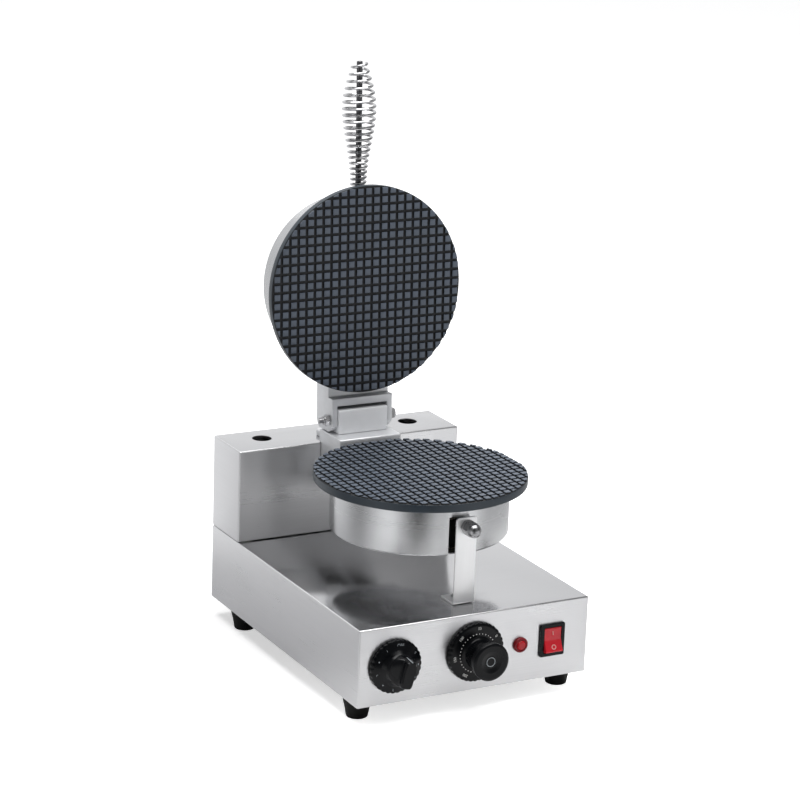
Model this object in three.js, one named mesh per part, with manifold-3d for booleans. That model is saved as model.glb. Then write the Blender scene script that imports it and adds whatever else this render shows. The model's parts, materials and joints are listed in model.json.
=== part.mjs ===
// Electric waffle cone maker: a sheet-steel base with a control panel, a fixed lower
// baking plate, and an upper baking plate on a lid that folds back on a cast hinge.
// Millimetres, +Z up, front towards -Y. The origin is on the floor, under the centre
// of the bounding box.

import * as THREE from 'three';
import { mergeVertices } from 'three/addons/utils/BufferGeometryUtils.js';
import Module from 'manifold-3d';

// ---------------------------------------------------------------- driving dimensions

const GAP = 0.3;                  // clearance between pieces that touch
const SHEET = 1.2;                // sheet-steel thickness of the casings

const FOOT_HEIGHT = 20;
const BASE = { width: 250, depth: 334, height: 77.4 };
const REAR = { depth: 63.4, height: 96.2, seam: 1 };

const PLATE = { radius: 105.2, thickness: 10, spigotRadius: 84, spigotDepth: 4 };
const PLATE_Y = 121;              // plate centre, behind the base's front face
const PLATE_TOP = 107.5;          // lower plate's baking face above the base's top
const PLATE_GAP = 1.6;            // between the two baking faces when the lid is shut
const DRUM = { radius: 88, wall: 1, depth: 49, flange: 9 };

const PIVOT = { y: 254.8, z: 124.8 };   // hinge axis: behind the front face, above the base's top
const OPEN_ANGLE = 92.2;                // degrees from shut to fully open

const CLEVIS = { outer: 34, inner: 28 };        // half-widths of the hinge arm
const TONGUE = { half: 27.2, front: 245, back: 271, height: 25.4 };
const BRACKET = { half: 34.7, wall: 5, front: 227.5, back: 274, top: 110.5 };
const BRACKET_TAIL = { half: 27, back: 300, height: 6 };

const HANDLE = { axisBehindFace: 24, rodRadius: 3, tip: 226 };
const SPRING = { start: 96, end: 224, wire: 1.4, turns: 21, endRadius: 7, bulge: 9 };

const TIMER = { x: -87.4, z: -39 };           // panel centres, z down from the base's top
const THERMOSTAT = { x: -1, z: -37.6 };
const LAMP = { x: 49.5, z: -38.9 };
const SWITCH = { x: 84.6, z: -38.6, width: 27, height: 33 };
const SWITCH_BODY = { width: 21.4, height: 27.4, depth: 22 };
const ROCKER = { width: 18.6, height: 25, tilt: 12 };
const INLET = { x: -80, z: -50, bore: 4 };

const KNOB_REACH = { timer: 32, thermostat: 34.5 };   // in front of the front face
const BACK_REACH = 18.5;          // cord gland behind the back face

// ------------------------------------------------------------------- derived places

const baseTop = FOOT_HEIGHT + BASE.height;
const rearFront = BASE.depth - REAR.depth;
const rearTop = baseTop + REAR.height;
const plateTop = baseTop + PLATE_TOP;
const plateUnder = plateTop - PLATE.thickness;
const pivotZ = baseTop + PIVOT.z;
const bracketTop = baseTop + BRACKET.top;
const tailTop = rearTop + GAP + BRACKET_TAIL.height;
const centreY = (BASE.depth + BACK_REACH - KNOB_REACH.thermostat) / 2;

// The lid is drawn shut, with its origin on the hinge axis.
const lidPlateY = PLATE_Y - PIVOT.y;
const lidFace = plateTop + PLATE_GAP - pivotZ;
const lidPlateBack = lidFace + PLATE.thickness;
const handleZ = lidFace + HANDLE.axisBehindFace;

// -------------------------------------------------------------------------- finishes

const finish = (color, roughness, metalness) => ({ color, roughness, metalness });
const STAINLESS = finish(0xc9cbcd, 0.32, 1);
const CAST_ALUMINIUM = finish(0xbfc1c3, 0.5, 0.9);
const BRIGHT_STEEL = finish(0xd8d9da, 0.2, 1);
const BAKING_COAT = finish(0x3c4248, 0.6, 0.3);
const BLACK_PLASTIC = finish(0x1a1a1c, 0.4, 0);
const BLACK_RUBBER = finish(0x161616, 0.85, 0);
const RED_LENS = finish(0xb01010, 0.2, 0);
const RED_PLASTIC = finish(0xc01616, 0.3, 0);
const HEATER_SHEATH = finish(0x6d675f, 0.55, 0.9);
const MINERAL_WOOL = finish(0xd9d0b8, 0.95, 0);
const ZINC = finish(0xa9adb1, 0.4, 1);
const PHENOLIC = finish(0xe6e1d4, 0.5, 0);
const BRASS = finish(0xb8923e, 0.35, 1);

// --------------------------------------------------------------------- shape helpers

const wasm = await Module();
wasm.setup();

// A closed indexed geometry with shared corners, no collapsed triangles, facing outwards.
function closed(source) {
  const bare = source.clone();
  bare.deleteAttribute('normal');
  bare.deleteAttribute('uv');
  const merged = mergeVertices(bare);
  const corners = merged.index.array;
  const kept = [];
  for (let i = 0; i < corners.length; i += 3) {
    const [a, b, c] = [corners[i], corners[i + 1], corners[i + 2]];
    if (a !== b && b !== c && c !== a) kept.push(a, b, c);
  }
  if (signedVolume(merged.attributes.position, kept) < 0) kept.reverse();
  merged.setIndex(kept);
  return merged;
}

function signedVolume(position, corners) {
  const [a, b, c] = [new THREE.Vector3(), new THREE.Vector3(), new THREE.Vector3()];
  let volume = 0;
  for (let i = 0; i < corners.length; i += 3) {
    a.fromBufferAttribute(position, corners[i]);
    b.fromBufferAttribute(position, corners[i + 1]);
    c.fromBufferAttribute(position, corners[i + 2]);
    volume += a.dot(b.cross(c)) / 6;
  }
  return volume;
}

function toSolid(geometry) {
  const mesh = closed(geometry);
  const vertProperties = new Float32Array(mesh.attributes.position.array);
  const triVerts = new Uint32Array(mesh.index.array);
  return new wasm.Manifold(new wasm.Mesh({ numProp: 3, vertProperties, triVerts }));
}

function toGeometry(solid) {
  const { vertProperties, triVerts } = solid.getMesh();
  const geometry = new THREE.BufferGeometry();
  geometry.setAttribute('position', new THREE.BufferAttribute(vertProperties, 3));
  geometry.setIndex(new THREE.BufferAttribute(triVerts, 1));
  return geometry;
}

const join = (...pieces) => toGeometry(pieces.map(toSolid).reduce((a, b) => a.add(b)));
const cut = (piece, ...tools) =>
  toGeometry(tools.map(toSolid).reduce((a, b) => a.subtract(b), toSolid(piece)));

// Block between two opposite corners.
function block([x0, y0, z0], [x1, y1, z1]) {
  return new THREE.BoxGeometry(x1 - x0, y1 - y0, z1 - z0)
    .translate((x0 + x1) / 2, (y0 + y1) / 2, (z0 + z1) / 2);
}

// Round bar of a radius along 'x', 'y' or 'z', between two places on that axis.
function bar(radius, axis, from, to, [u, v], sides = 16) {
  const geometry = new THREE.CylinderGeometry(radius, radius, to - from, sides)
    .translate(0, (from + to) / 2, 0);
  if (axis === 'x') return geometry.rotateZ(-Math.PI / 2).translate(0, u, v);
  if (axis === 'y') return geometry.translate(u, 0, v);
  return geometry.rotateX(Math.PI / 2).translate(u, v, 0);
}

// Hexagonal bar, as for nuts and bolt heads; size is across the flats.
const hexBar = (acrossFlats, axis, from, to, at) =>
  bar(acrossFlats / Math.sqrt(3), axis, from, to, at, 6);

// Turned solid about +Z from [radius, height] points; an outline off the axis is closed.
function turned(outline, sides = 24) {
  const points = outline.map(([radius, height]) => new THREE.Vector2(radius, height));
  const ring = outline[0][0] > 0;
  if (ring) points.push(points[0].clone());
  return new THREE.LatheGeometry(points, sides).rotateX(Math.PI / 2);
}

// The same, turned about an axis that points out of the front panel.
const turnedForward = (outline, sides) => turned(outline, sides).rotateX(Math.PI / 2);

// Side outline of [y, z] points, as thick as x0 to x1.
function sideProfile(outline, x0, x1) {
  const shape = new THREE.Shape(outline.map(([y, z]) => new THREE.Vector2(y, z)));
  const options = { depth: x1 - x0, bevelEnabled: false, curveSegments: 6 };
  return new THREE.ExtrudeGeometry(shape, options)
    .rotateZ(Math.PI / 2)
    .rotateY(Math.PI / 2)
    .translate(x0, 0, 0);
}

// Wire or tube of a radius along a curve.
function alongCurve(curve, radius, steps, sides) {
  const corners = arcPoints([0, 0], radius, 0, 360, sides).slice(0, -1);
  const section = new THREE.Shape(corners.map(([u, v]) => new THREE.Vector2(u, v)));
  curve.arcLengthDivisions = steps * 4;
  return new THREE.ExtrudeGeometry(section, { steps, extrudePath: curve, bevelEnabled: false });
}

// Points of an arc about [u, v], angles in degrees.
function arcPoints([u, v], radius, from, to, count) {
  return Array.from({ length: count + 1 }, (_, i) => {
    const angle = THREE.MathUtils.degToRad(from + ((to - from) * i) / count);
    return [u + radius * Math.cos(angle), v + radius * Math.sin(angle)];
  });
}

// ------------------------------------------------------------------- assembly groups

const machine = new THREE.Group();
machine.position.y = -centreY;

const lid = new THREE.Group();
lid.position.set(0, PIVOT.y, pivotZ);
lid.rotation.x = -THREE.MathUtils.degToRad(OPEN_ANGLE);
machine.add(lid);

function place(parent, name, geometry, look) {
  const mesh = new THREE.Mesh(closed(geometry), new THREE.MeshStandardMaterial(look));
  mesh.name = name;
  parent.add(mesh);
  return mesh;
}

const onPanel = (control) => [control.x, 0, baseTop + control.z];

// ---------------------------------------------------------------------------- casing

const LEG = { width: 22, thickness: 2, front: 25.8, height: 88, foot: 26, bolt: 79 };
const LEG_BOLT = { radius: 3.9, bore: 4.2, nut: 13, reach: 16 };
const DOME_NUT = { start: 5.9, collar: 8, radius: 7, depth: 11 };
const LEG_SCREW_Y = LEG.front + 17;
const REAR_SCREW_Y = BASE.depth - 12;
const WIRE_HOLE_Y = BASE.depth - 30;
const VENT = { x: 84, y: 306, radius: 10 };
const BRACKET_SCREW = { x: 20, y: 289 };

function baseHousing() {
  const half = BASE.width / 2;
  const shell = block([-half, 0, FOOT_HEIGHT], [half, BASE.depth, baseTop]);
  const inside = block(
    [SHEET - half, SHEET, FOOT_HEIGHT - 1],
    [half - SHEET, BASE.depth - SHEET, baseTop - SHEET],
  );
  const panelHole = (control, radius) =>
    bar(radius, 'y', -5, 5, [control.x, baseTop + control.z]);
  const switchHole = block(
    [SWITCH.x - 11, -5, baseTop + SWITCH.z - 14],
    [SWITCH.x + 11, 5, baseTop + SWITCH.z + 14],
  );
  const inletHole = bar(8.3, 'y', BASE.depth - 5, BASE.depth + 5, [INLET.x, baseTop + INLET.z]);
  const wireHole = bar(12, 'z', baseTop - 5, baseTop + 5, [0, WIRE_HOLE_Y]);
  const legScrewHole = bar(2.4, 'z', baseTop - 5, baseTop + 5, [0, LEG_SCREW_Y], 10);
  return cut(shell, inside, panelHole(TIMER, 5), panelHole(THERMOSTAT, 5), panelHole(LAMP, 6.4),
    switchHole, inletHole, wireHole, legScrewHole);
}

const FEET = { x: 110, front: 28.9, rear: 283 };
const FOOT = { bottom: 10.6, top: 14, recess: 5.4, recessDepth: 8, bore: 2.6 };

function bottomPlate() {
  const halfX = BASE.width / 2 - SHEET - GAP;
  const [y0, y1] = [SHEET + GAP, BASE.depth - SHEET - GAP];
  const sheet = block([-halfX, y0, FOOT_HEIGHT], [halfX, y1, FOOT_HEIGHT + SHEET]);
  const [below, above] = [FOOT_HEIGHT - 2, FOOT_HEIGHT + 4];
  const footHoles = [-FEET.x, FEET.x].flatMap((x) => [FEET.front, FEET.rear].map(
    (y) => bar(2.4, 'z', below, above, [x, y], 8)));
  const vents = [-2, -1, 0, 1, 2].map((i) => block([i * 24 - 3, 130, below], [i * 24 + 3, 200, above]));
  return cut(sheet, ...footHoles, ...vents);
}

function foot() {
  const top = FOOT_HEIGHT - GAP;
  return turned([
    [FOOT.bore, FOOT.recessDepth], [FOOT.recess, FOOT.recessDepth], [FOOT.recess, 0],
    [FOOT.bottom - 1, 0], [FOOT.bottom, 1], [FOOT.top, top - 1], [FOOT.top - 1, top],
    [FOOT.bore, top],
  ], 12);
}

function footScrew() {
  const under = FOOT.recessDepth - GAP;
  return turned([
    [0, under - 2.6], [3.4, under - 2.6], [4.6, under - 1.2], [4.6, under], [2.1, under],
    [2.1, FOOT_HEIGHT + 7], [0, FOOT_HEIGHT + 7],
  ], 10);
}

function rearHousing() {
  const half = BASE.width / 2;
  const floor = baseTop + REAR.seam;
  const shell = block([-half, rearFront, floor], [half, BASE.depth, rearTop]);
  const inside = block(
    [SHEET - half, rearFront + SHEET, floor - 1],
    [half - SHEET, BASE.depth - SHEET, rearTop - SHEET],
  );
  const through = (radius, x, y, sides) =>
    bar(radius, 'z', rearTop - 5, rearTop + 5, [x, y], sides);
  return cut(shell, inside,
    through(VENT.radius, -VENT.x, VENT.y), through(VENT.radius, VENT.x, VENT.y),
    through(2.4, -BRACKET_SCREW.x, BRACKET_SCREW.y, 10),
    through(2.4, BRACKET_SCREW.x, BRACKET_SCREW.y, 10));
}

// Angle strip that ties the rear housing down to the base's top, inside the seam.
function rearTieStrip(side) {
  const wall = side * (BASE.width / 2 - SHEET - GAP);
  const [near, far] = [wall, wall - side * 14].sort((a, b) => a - b);
  const [y0, y1] = [rearFront + SHEET + GAP, BASE.depth - SHEET - GAP];
  const flat = block([near, y0, baseTop + GAP], [far, y1, baseTop + GAP + SHEET]);
  const [wallLow, wallHigh] = [wall, wall - side * SHEET].sort((a, b) => a - b);
  const upright = block([wallLow, y0, baseTop + GAP], [wallHigh, y1, baseTop + 16]);
  return join(flat, upright);
}

place(machine, 'base_housing', baseHousing(), STAINLESS);
place(machine, 'bottom_plate', bottomPlate(), ZINC);
place(machine, 'rear_housing', rearHousing(), STAINLESS);
place(machine, 'rear_tie_strip_left', rearTieStrip(-1), ZINC);
place(machine, 'rear_tie_strip_right', rearTieStrip(1), ZINC);

for (const [side, x] of [['left', -FEET.x], ['right', FEET.x]]) {
  for (const end of ['front', 'rear']) {
    place(machine, `foot_${end}_${side}`, foot(), BLACK_RUBBER).position.set(x, FEET[end], 0);
    place(machine, `foot_screw_${end}_${side}`, footScrew(), ZINC)
      .position.set(x, FEET[end], 0);
  }
}

// --------------------------------------------------- baking plates and their drums

// The lower set is drawn with the baking face at zero, facing up. The lid's set is the
// same, turned over.

function bakingPlate() {
  const { radius, thickness, spigotRadius, spigotDepth } = PLATE;
  return turned([
    [0, -thickness - spigotDepth], [spigotRadius, -thickness - spigotDepth],
    [spigotRadius, -thickness], [radius - 1.5, -thickness], [radius, -thickness + 1.5],
    [radius, -1], [radius - 1, 0], [0, 0],
  ], 40);
}

const drumTop = -PLATE.thickness - GAP;
const drumBottom = drumTop - DRUM.depth + GAP;

function drumShell() {
  const { radius, wall, flange } = DRUM;
  return turned([
    [radius - wall, drumTop], [radius - wall, drumBottom + wall],
    [radius - flange, drumBottom + wall], [radius - flange, drumBottom],
    [radius, drumBottom], [radius, drumTop],
  ], 40);
}

function drumCover() {
  const low = drumBottom + DRUM.wall + GAP;
  const rim = DRUM.radius - DRUM.wall - GAP;
  return turned([[0, low], [rim, low], [rim, low + SHEET], [0, low + SHEET]], 32);
}

const HEATER = { ring: 60, radius: 3.6, sweep: 310 };
const heaterZ = -PLATE.thickness - PLATE.spigotDepth - GAP - HEATER.radius;

class ArcCurve extends THREE.Curve {
  getPoint(t, target = new THREE.Vector3()) {
    const angle = THREE.MathUtils.degToRad(-90 + (360 - HEATER.sweep) / 2 + HEATER.sweep * t);
    return target.set(HEATER.ring * Math.cos(angle), HEATER.ring * Math.sin(angle), heaterZ);
  }
}

const heaterElement = () => alongCurve(new ArcCurve(), HEATER.radius, 28, 6);

function heaterClamp() {
  const top = heaterZ - HEATER.radius - GAP;
  return turned([[40, top - 2], [72, top - 2], [72, top], [40, top]], 24);
}

function insulationPad() {
  const top = heaterZ - HEATER.radius - GAP - 2 - GAP;
  const bottom = drumBottom + DRUM.wall + SHEET + 2 * GAP;
  const rim = DRUM.radius - 9;
  return turned([[0, bottom], [rim, bottom], [rim, top], [0, top]], 24);
}

const lowerSet = new THREE.Group();
lowerSet.position.set(0, PLATE_Y, plateTop);
machine.add(lowerSet);

const upperSet = new THREE.Group();
upperSet.position.set(0, lidPlateY, lidFace);
upperSet.rotation.x = Math.PI;
lid.add(upperSet);

// Holes through the drum walls for what is bolted to them.
const LEG_HOLE_Z = LEG.bolt - PLATE_TOP;
const DRUM_SCREW = { x: 20, z: -40 };
const SLOT = { x: -10.1, width: 9.2, low: -60, high: -20.5 };

function lowerDrum() {
  const legHole = bar(LEG_BOLT.bore, 'y', -DRUM.radius - 5, -DRUM.radius + 5, [0, LEG_HOLE_Z], 12);
  const slot = block(
    [SLOT.x - SLOT.width / 2, -DRUM.radius - 5, SLOT.low],
    [SLOT.x + SLOT.width / 2, -DRUM.radius + 12, SLOT.high],
  );
  const screwHoles = [-1, 1].map((side) =>
    bar(2.4, 'y', DRUM.radius - 12, DRUM.radius + 5, [side * DRUM_SCREW.x, DRUM_SCREW.z], 10));
  return cut(drumShell(), legHole, slot, ...screwHoles);
}

// The arm's screws and the handle's rod; the arm is on this set's rear, the handle in front.
const ARM_SCREW = { x: 16, z: -34 };

function upperDrum() {
  const rodHole = bar(HANDLE.rodRadius + GAP, 'y', DRUM.radius - 5, DRUM.radius + 5,
    [0, -HANDLE.axisBehindFace], 12);
  const screwHoles = [-1, 1].map((side) =>
    bar(2.4, 'y', -DRUM.radius - 5, -DRUM.radius + 12, [side * ARM_SCREW.x, ARM_SCREW.z], 10));
  return cut(drumShell(), rodHole, ...screwHoles);
}

for (const [level, set, drum] of [
  ['lower', lowerSet, lowerDrum()], ['upper', upperSet, upperDrum()],
]) {
  place(set, `${level}_baking_plate`, bakingPlate(), BAKING_COAT);
  place(set, `${level}_drum`, drum, STAINLESS);
  place(set, `${level}_drum_cover`, drumCover(), STAINLESS);
  place(set, `${level}_heating_element`, heaterElement(), HEATER_SHEATH);
  place(set, `${level}_heater_clamp`, heaterClamp(), ZINC);
  place(set, `${level}_insulation_pad`, insulationPad(), MINERAL_WOOL);
}

// ------------------------------------------------------------ front support leg

function supportLeg() {
  const half = LEG.width / 2;
  const foot = baseTop + GAP;
  const strip = block([-half, LEG.front, foot], [half, LEG.front + LEG.thickness, baseTop + LEG.height]);
  const heel = block([-half, LEG.front, foot], [half, LEG.front + LEG.foot, foot + LEG.thickness]);
  const boltHole = bar(LEG_BOLT.bore, 'y', LEG.front - 3, LEG.front + 5, [0, baseTop + LEG.bolt], 12);
  const screwHole = bar(2.4, 'z', foot - 3, foot + 5, [0, LEG_SCREW_Y], 10);
  return cut(join(strip, heel), boltHole, screwHole);
}

// Bolt out of the drum, with its head inside.
function legBolt() {
  const inside = PLATE_Y - DRUM.radius + DRUM.wall;
  const at = [0, baseTop + LEG.bolt];
  return join(
    bar(LEG_BOLT.radius, 'y', LEG.front - LEG_BOLT.reach, inside + 2, at, 12),
    hexBar(LEG_BOLT.nut, 'y', inside + 1.2, inside + 5.2, at),
  );
}

function legHexNut() {
  const at = [0, baseTop + LEG.bolt];
  const [from, to] = [LEG.front - 5.6, LEG.front - GAP];
  return cut(
    hexBar(LEG_BOLT.nut, 'y', from, to, at),
    bar(LEG_BOLT.bore, 'y', from - 1, to + 1, at, 12),
  );
}

function domeNut() {
  const { start, collar, radius, depth } = DOME_NUT;
  const at = [0, baseTop + LEG.bolt];
  const face = LEG.front - start;
  const ball = turnedForward([
    [0, collar - 3], [5.5, collar - 3], ...arcPoints([0, collar], radius, -20, 90, 6).slice(0, -1),
    [0, collar + radius],
  ].reverse(), 14).translate(0, face, at[1]);
  return cut(
    join(hexBar(LEG_BOLT.nut, 'y', face - collar, face, at), ball),
    bar(LEG_BOLT.bore, 'y', face - depth, face + 1, at, 12),
  );
}

function legSpacer() {
  const [from, to] = [LEG.front + LEG.thickness + GAP, PLATE_Y - DRUM.radius - 0.4];
  const at = [0, baseTop + LEG.bolt];
  return cut(bar(7, 'y', from, to, at, 14), bar(LEG_BOLT.bore, 'y', from - 1, to + 1, at, 12));
}

// Dome-headed screw driven down along Z, its head's underside at the origin.
function domeScrew(length, head = 4.6) {
  return turned([
    [0, -length], [2.1, -length], [2.1, 0], [head, 0], [head * 0.85, 1.6], [head * 0.45, 2.6],
    [0, 2.9],
  ], 10);
}

place(machine, 'support_leg', supportLeg(), STAINLESS);
place(machine, 'leg_bolt', legBolt(), BRIGHT_STEEL);
place(machine, 'leg_spacer', legSpacer(), BRIGHT_STEEL);
place(machine, 'leg_hex_nut', legHexNut(), BRIGHT_STEEL);
place(machine, 'leg_dome_nut', domeNut(), BRIGHT_STEEL);
place(machine, 'leg_foot_screw', domeScrew(8), BRIGHT_STEEL)
  .position.set(0, LEG_SCREW_Y, baseTop + 2 * GAP + LEG.thickness);

// ------------------------------------------------------------------------------ hinge

// Lower casting: a deck over the rear housing's top with a narrow tail, and an apron down to
// the drum with two pockets behind it, either side of a middle rib.
function hingeBracket() {
  const { half, wall, front, back } = BRACKET;
  const tail = BRACKET_TAIL;
  const underPlate = plateUnder - 3;
  const apronLow = baseTop + 54;
  const outline = [
    [PLATE_Y + DRUM.radius - 8, underPlate], [front, underPlate], [front, bracketTop],
    [back, bracketTop], [back, tailTop], [tail.back, tailTop], [tail.back, rearTop + GAP],
    [rearFront - 1, rearTop + GAP], [rearFront - 1, baseTop + 72], [front + 8, apronLow],
    [PLATE_Y + DRUM.radius - 8, apronLow],
  ];
  const casting = sideProfile(outline, -half, half);
  const tailSides = [-1, 1].map((side) => block(
    [Math.min(side * tail.half, side * (half + 1)), back, rearTop],
    [Math.max(side * tail.half, side * (half + 1)), tail.back + 1, tailTop + 1],
  ));
  const pocketTop = bracketTop - wall;
  const pockets = [-1, 1].map((side) => block(
    [Math.min(side * wall / 2, side * (half - wall)), front + wall, apronLow - 1],
    [Math.max(side * wall / 2, side * (half - wall)), rearFront + 2, pocketTop],
  ));
  const drumSeat = bar(DRUM.radius + GAP, 'z', baseTop, baseTop + 120, [0, PLATE_Y], 48);
  const downHoles = [-1, 1].map((side) =>
    bar(2.4, 'z', rearTop - 2, tailTop + 2, [side * BRACKET_SCREW.x, BRACKET_SCREW.y], 10));
  const drumHoles = [-1, 1].map((side) => bar(2.4, 'y', PLATE_Y + DRUM.radius - 12, front + wall + 2,
    [side * DRUM_SCREW.x, plateTop + DRUM_SCREW.z], 10));
  return cut(casting, ...tailSides, ...pockets, drumSeat, ...downHoles, ...drumHoles);
}

function hingeTongue() {
  const { half, front, back, height } = TONGUE;
  const low = bracketTop + GAP;
  const top = bracketTop + height;
  const round = 6;
  const outline = [
    [front, low], [back, low], ...arcPoints([back - round, top - round], round, 0, 90, 4),
    ...arcPoints([front + 2, top - 2], 2, 90, 180, 2),
  ];
  const bore = bar(3.4, 'x', -half - 2, half + 2, [PIVOT.y, pivotZ], 16);
  return cut(sideProfile(outline, -half, half), bore);
}

place(machine, 'hinge_bracket', hingeBracket(), CAST_ALUMINIUM);
place(machine, 'hinge_tongue', hingeTongue(), CAST_ALUMINIUM);
for (const [name, side] of [['left', -1], ['right', 1]]) {
  place(machine, `bracket_screw_${name}`, domeScrew(16, 4.2), ZINC)
    .position.set(side * BRACKET_SCREW.x, BRACKET_SCREW.y, tailTop + GAP);
  const drumScrew = domeScrew(BRACKET.front + BRACKET.wall - PLATE_Y - DRUM.radius + 5);
  place(machine, `drum_screw_${name}`, drumScrew.rotateX(-Math.PI / 2), ZINC).position.set(
    side * DRUM_SCREW.x, BRACKET.front + BRACKET.wall + GAP, plateTop + DRUM_SCREW.z);
}

// Lid's casting: two legs either side of the tongue, a web and a back wall that shut in the
// space between them, and a saddle on the drum.
function hingeArm() {
  const { outer, inner } = CLEVIS;
  const drumRear = lidPlateY + DRUM.radius;
  const [low, high, step] = [-7.5, 28.5, 2];
  const webNear = -14.5;
  const webFar = -22.5;
  const leg = [
    [webFar, low], [6, low], ...arcPoints([5, 3.2], 8, -60, 0, 3), [12.8, 8],
    ...arcPoints([3, 18.5], 10, 0, 90, 4), [drumRear - 12, high], [drumRear - 12, step],
    [webFar - step + low, step],
  ];
  const cheeks = [[-outer, -inner], [inner, outer]].map(([x0, x1]) => sideProfile(leg, x0, x1));
  const web = block([-outer + 1, webFar, low], [outer - 1, webNear, high]);
  const backWall = block([-outer + 1, webFar + 1, high - 4], [outer - 1, 3, high]);
  const frontWall = block([-outer + 1, drumRear - 12, step], [outer - 1, webFar + 1, step + 5]);
  const saddle = block([-outer + 1, drumRear - 12, step], [outer - 1, drumRear + 7, 38]);
  const drumSeat = bar(DRUM.radius + GAP, 'z', -60, 90, [0, lidPlateY], 48);
  const bore = bar(3.4, 'x', -outer - 2, outer + 2, [0, 0], 16);
  const screwHoles = [-1, 1].map((side) => bar(2.4, 'y', drumRear - 15, drumRear + 20,
    [side * ARM_SCREW.x, lidFace - ARM_SCREW.z], 10));
  return cut(join(...cheeks, web, backWall, frontWall, saddle), drumSeat, bore, ...screwHoles);
}

// The bolt's head is on the right; its end stands proud of the nut on the left.
const PIVOT_BOLT = { radius: 3, head: 5.5, across: 10, nut: 6.6, proud: 5 };

function pivotBolt() {
  const face = CLEVIS.outer + GAP;
  const { radius, head, across, nut, proud } = PIVOT_BOLT;
  return join(
    bar(radius, 'x', -face - nut - proud, face + 1, [0, 0], 16),
    hexBar(across, 'x', face, face + head, [0, 0]),
  );
}

function pivotNut() {
  const face = CLEVIS.outer + GAP;
  const { radius, across, nut } = PIVOT_BOLT;
  const hole = bar(radius + GAP, 'x', -face - nut - 1, 1 - face, [0, 0]);
  return cut(hexBar(across, 'x', -face - nut, -face, [0, 0]), hole);
}

place(lid, 'hinge_arm', hingeArm(), CAST_ALUMINIUM);
place(lid, 'pivot_bolt', pivotBolt(), BRIGHT_STEEL);
place(lid, 'pivot_nut', pivotNut(), BRIGHT_STEEL);
for (const [name, side] of [['left', -1], ['right', 1]]) {
  place(lid, `arm_screw_${name}`, domeScrew(12).rotateX(-Math.PI / 2), ZINC).position.set(
    side * ARM_SCREW.x, lidPlateY + DRUM.radius + 7 + GAP, lidFace - ARM_SCREW.z);
}

// ----------------------------------------------------------------------------- handle

// Distances along the handle are from the plate's centre; the rod points to the front.
function handleRod() {
  const [from, to] = [-HANDLE.tip, -DRUM.radius + 8];
  return bar(HANDLE.rodRadius, 'y', from, to, [0, 0], 12);
}

function handleNut(from) {
  const thickness = 5;
  const at = [0, 0];
  return cut(
    hexBar(10, 'y', from, from + thickness, at),
    bar(HANDLE.rodRadius + GAP, 'y', from - 1, from + thickness + 1, at, 12),
  );
}

class BarrelHelix extends THREE.Curve {
  getPoint(t, target = new THREE.Vector3()) {
    const angle = t * SPRING.turns * Math.PI * 2;
    const radius = SPRING.endRadius + SPRING.bulge * Math.sin(Math.PI * t ** 1.85) ** 1.3;
    const along = SPRING.start + (SPRING.end - SPRING.start) * t * (0.8 + 0.2 * t);
    return target.set(radius * Math.cos(angle), -along, radius * Math.sin(angle));
  }
}

const handle = new THREE.Group();
handle.position.set(0, lidPlateY, handleZ);
lid.add(handle);
place(handle, 'handle_rod', handleRod(), BRIGHT_STEEL);
place(handle, 'handle_inner_nut', handleNut(-DRUM.radius + DRUM.wall + GAP + 0.4), ZINC);
place(handle, 'handle_outer_nut', handleNut(-DRUM.radius - 5.6), BRIGHT_STEEL);
place(handle, 'handle_spring_grip',
  alongCurve(new BarrelHelix(), SPRING.wire, SPRING.turns * 9, 4), BRIGHT_STEEL);

// ----------------------------------------------------------------------- control panel

const SHAFT = { radius: 3, back: -12, front: 14 };

function controlShaft() {
  const round = bar(SHAFT.radius, 'y', -SHAFT.front, -SHAFT.back, [0, 0], 12);
  const flat = block([-5, -SHAFT.front - 1, 1.8], [5, -2, 5]);
  return cut(round, flat);
}

const shaftBore = bar(SHAFT.radius + GAP, 'y', -SHAFT.front - GAP, 20, [0, 0], 12);

const WING_ANGLE = 13 * Math.PI / 180;       // clockwise from upright

function timerKnob() {
  const skirt = turnedForward([
    [0, 1], [27, 1], [27, 5], [25.5, 6.5], [20, 9], [15.5, 12], [14, 16], [0, 16],
  ], 28);
  const wing = block([-6.5, -KNOB_REACH.timer, -13.5], [6.5, -4, 13.5])
    .rotateY(WING_ANGLE);
  return cut(join(skirt, wing), shaftBore);
}

function thermostatKnob() {
  const reach = KNOB_REACH.thermostat;
  const skirt = turnedForward([
    [0, 1], [30, 1], [30, 5], [28, 6.5], [16, 8], [14.5, 11], [15.5, 20], [19, 30],
    [18, reach], [14, reach - 0.6], [0, reach - 2.5],
  ], 28);
  return cut(skirt, shaftBore);
}

// Clockwork timer in its tin case, and the thermostat's switch block, behind the panel.
function controlBody(width, height, depth) {
  const behind = SHEET + GAP;
  const body = block([-width / 2, behind, -height / 2], [width / 2, behind + depth, height / 2]);
  const tabs = [-1, 1].map((side) => block(
    [side * width / 4 - 3, behind + depth - 1, -height / 4],
    [side * width / 4 + 3, behind + depth + 8, -height / 4 + 1],
  ));
  const bore = bar(SHAFT.radius + GAP, 'y', 0, -SHAFT.back + 1, [0, 0], 12);
  return cut(join(body, ...tabs), bore);
}

function sensorBulb() {
  return turned([[0, -35], [2, -35], [3, -33], [3, 33], [2, 35], [0, 35]], 10)
    .rotateY(Math.PI / 2);
}

function lampBezel() {
  return turnedForward([
    [5, -18], [6, -18], [6, -GAP], [6, GAP], [7.6, GAP], [7.6, 1.2], [6.6, 2.4], [5.4, 2.4],
    [5.4, -4], [5, -4],
  ], 14);
}

function lampLens() {
  const rim = 5;
  return turnedForward([
    [0, -3.6], [rim, -3.6],
    ...arcPoints([0, 1.4], rim, 0, 90, 5).map(([r, h]) => [r, 1.4 + (h - 1.4) * 0.55]),
  ], 16);
}

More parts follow.
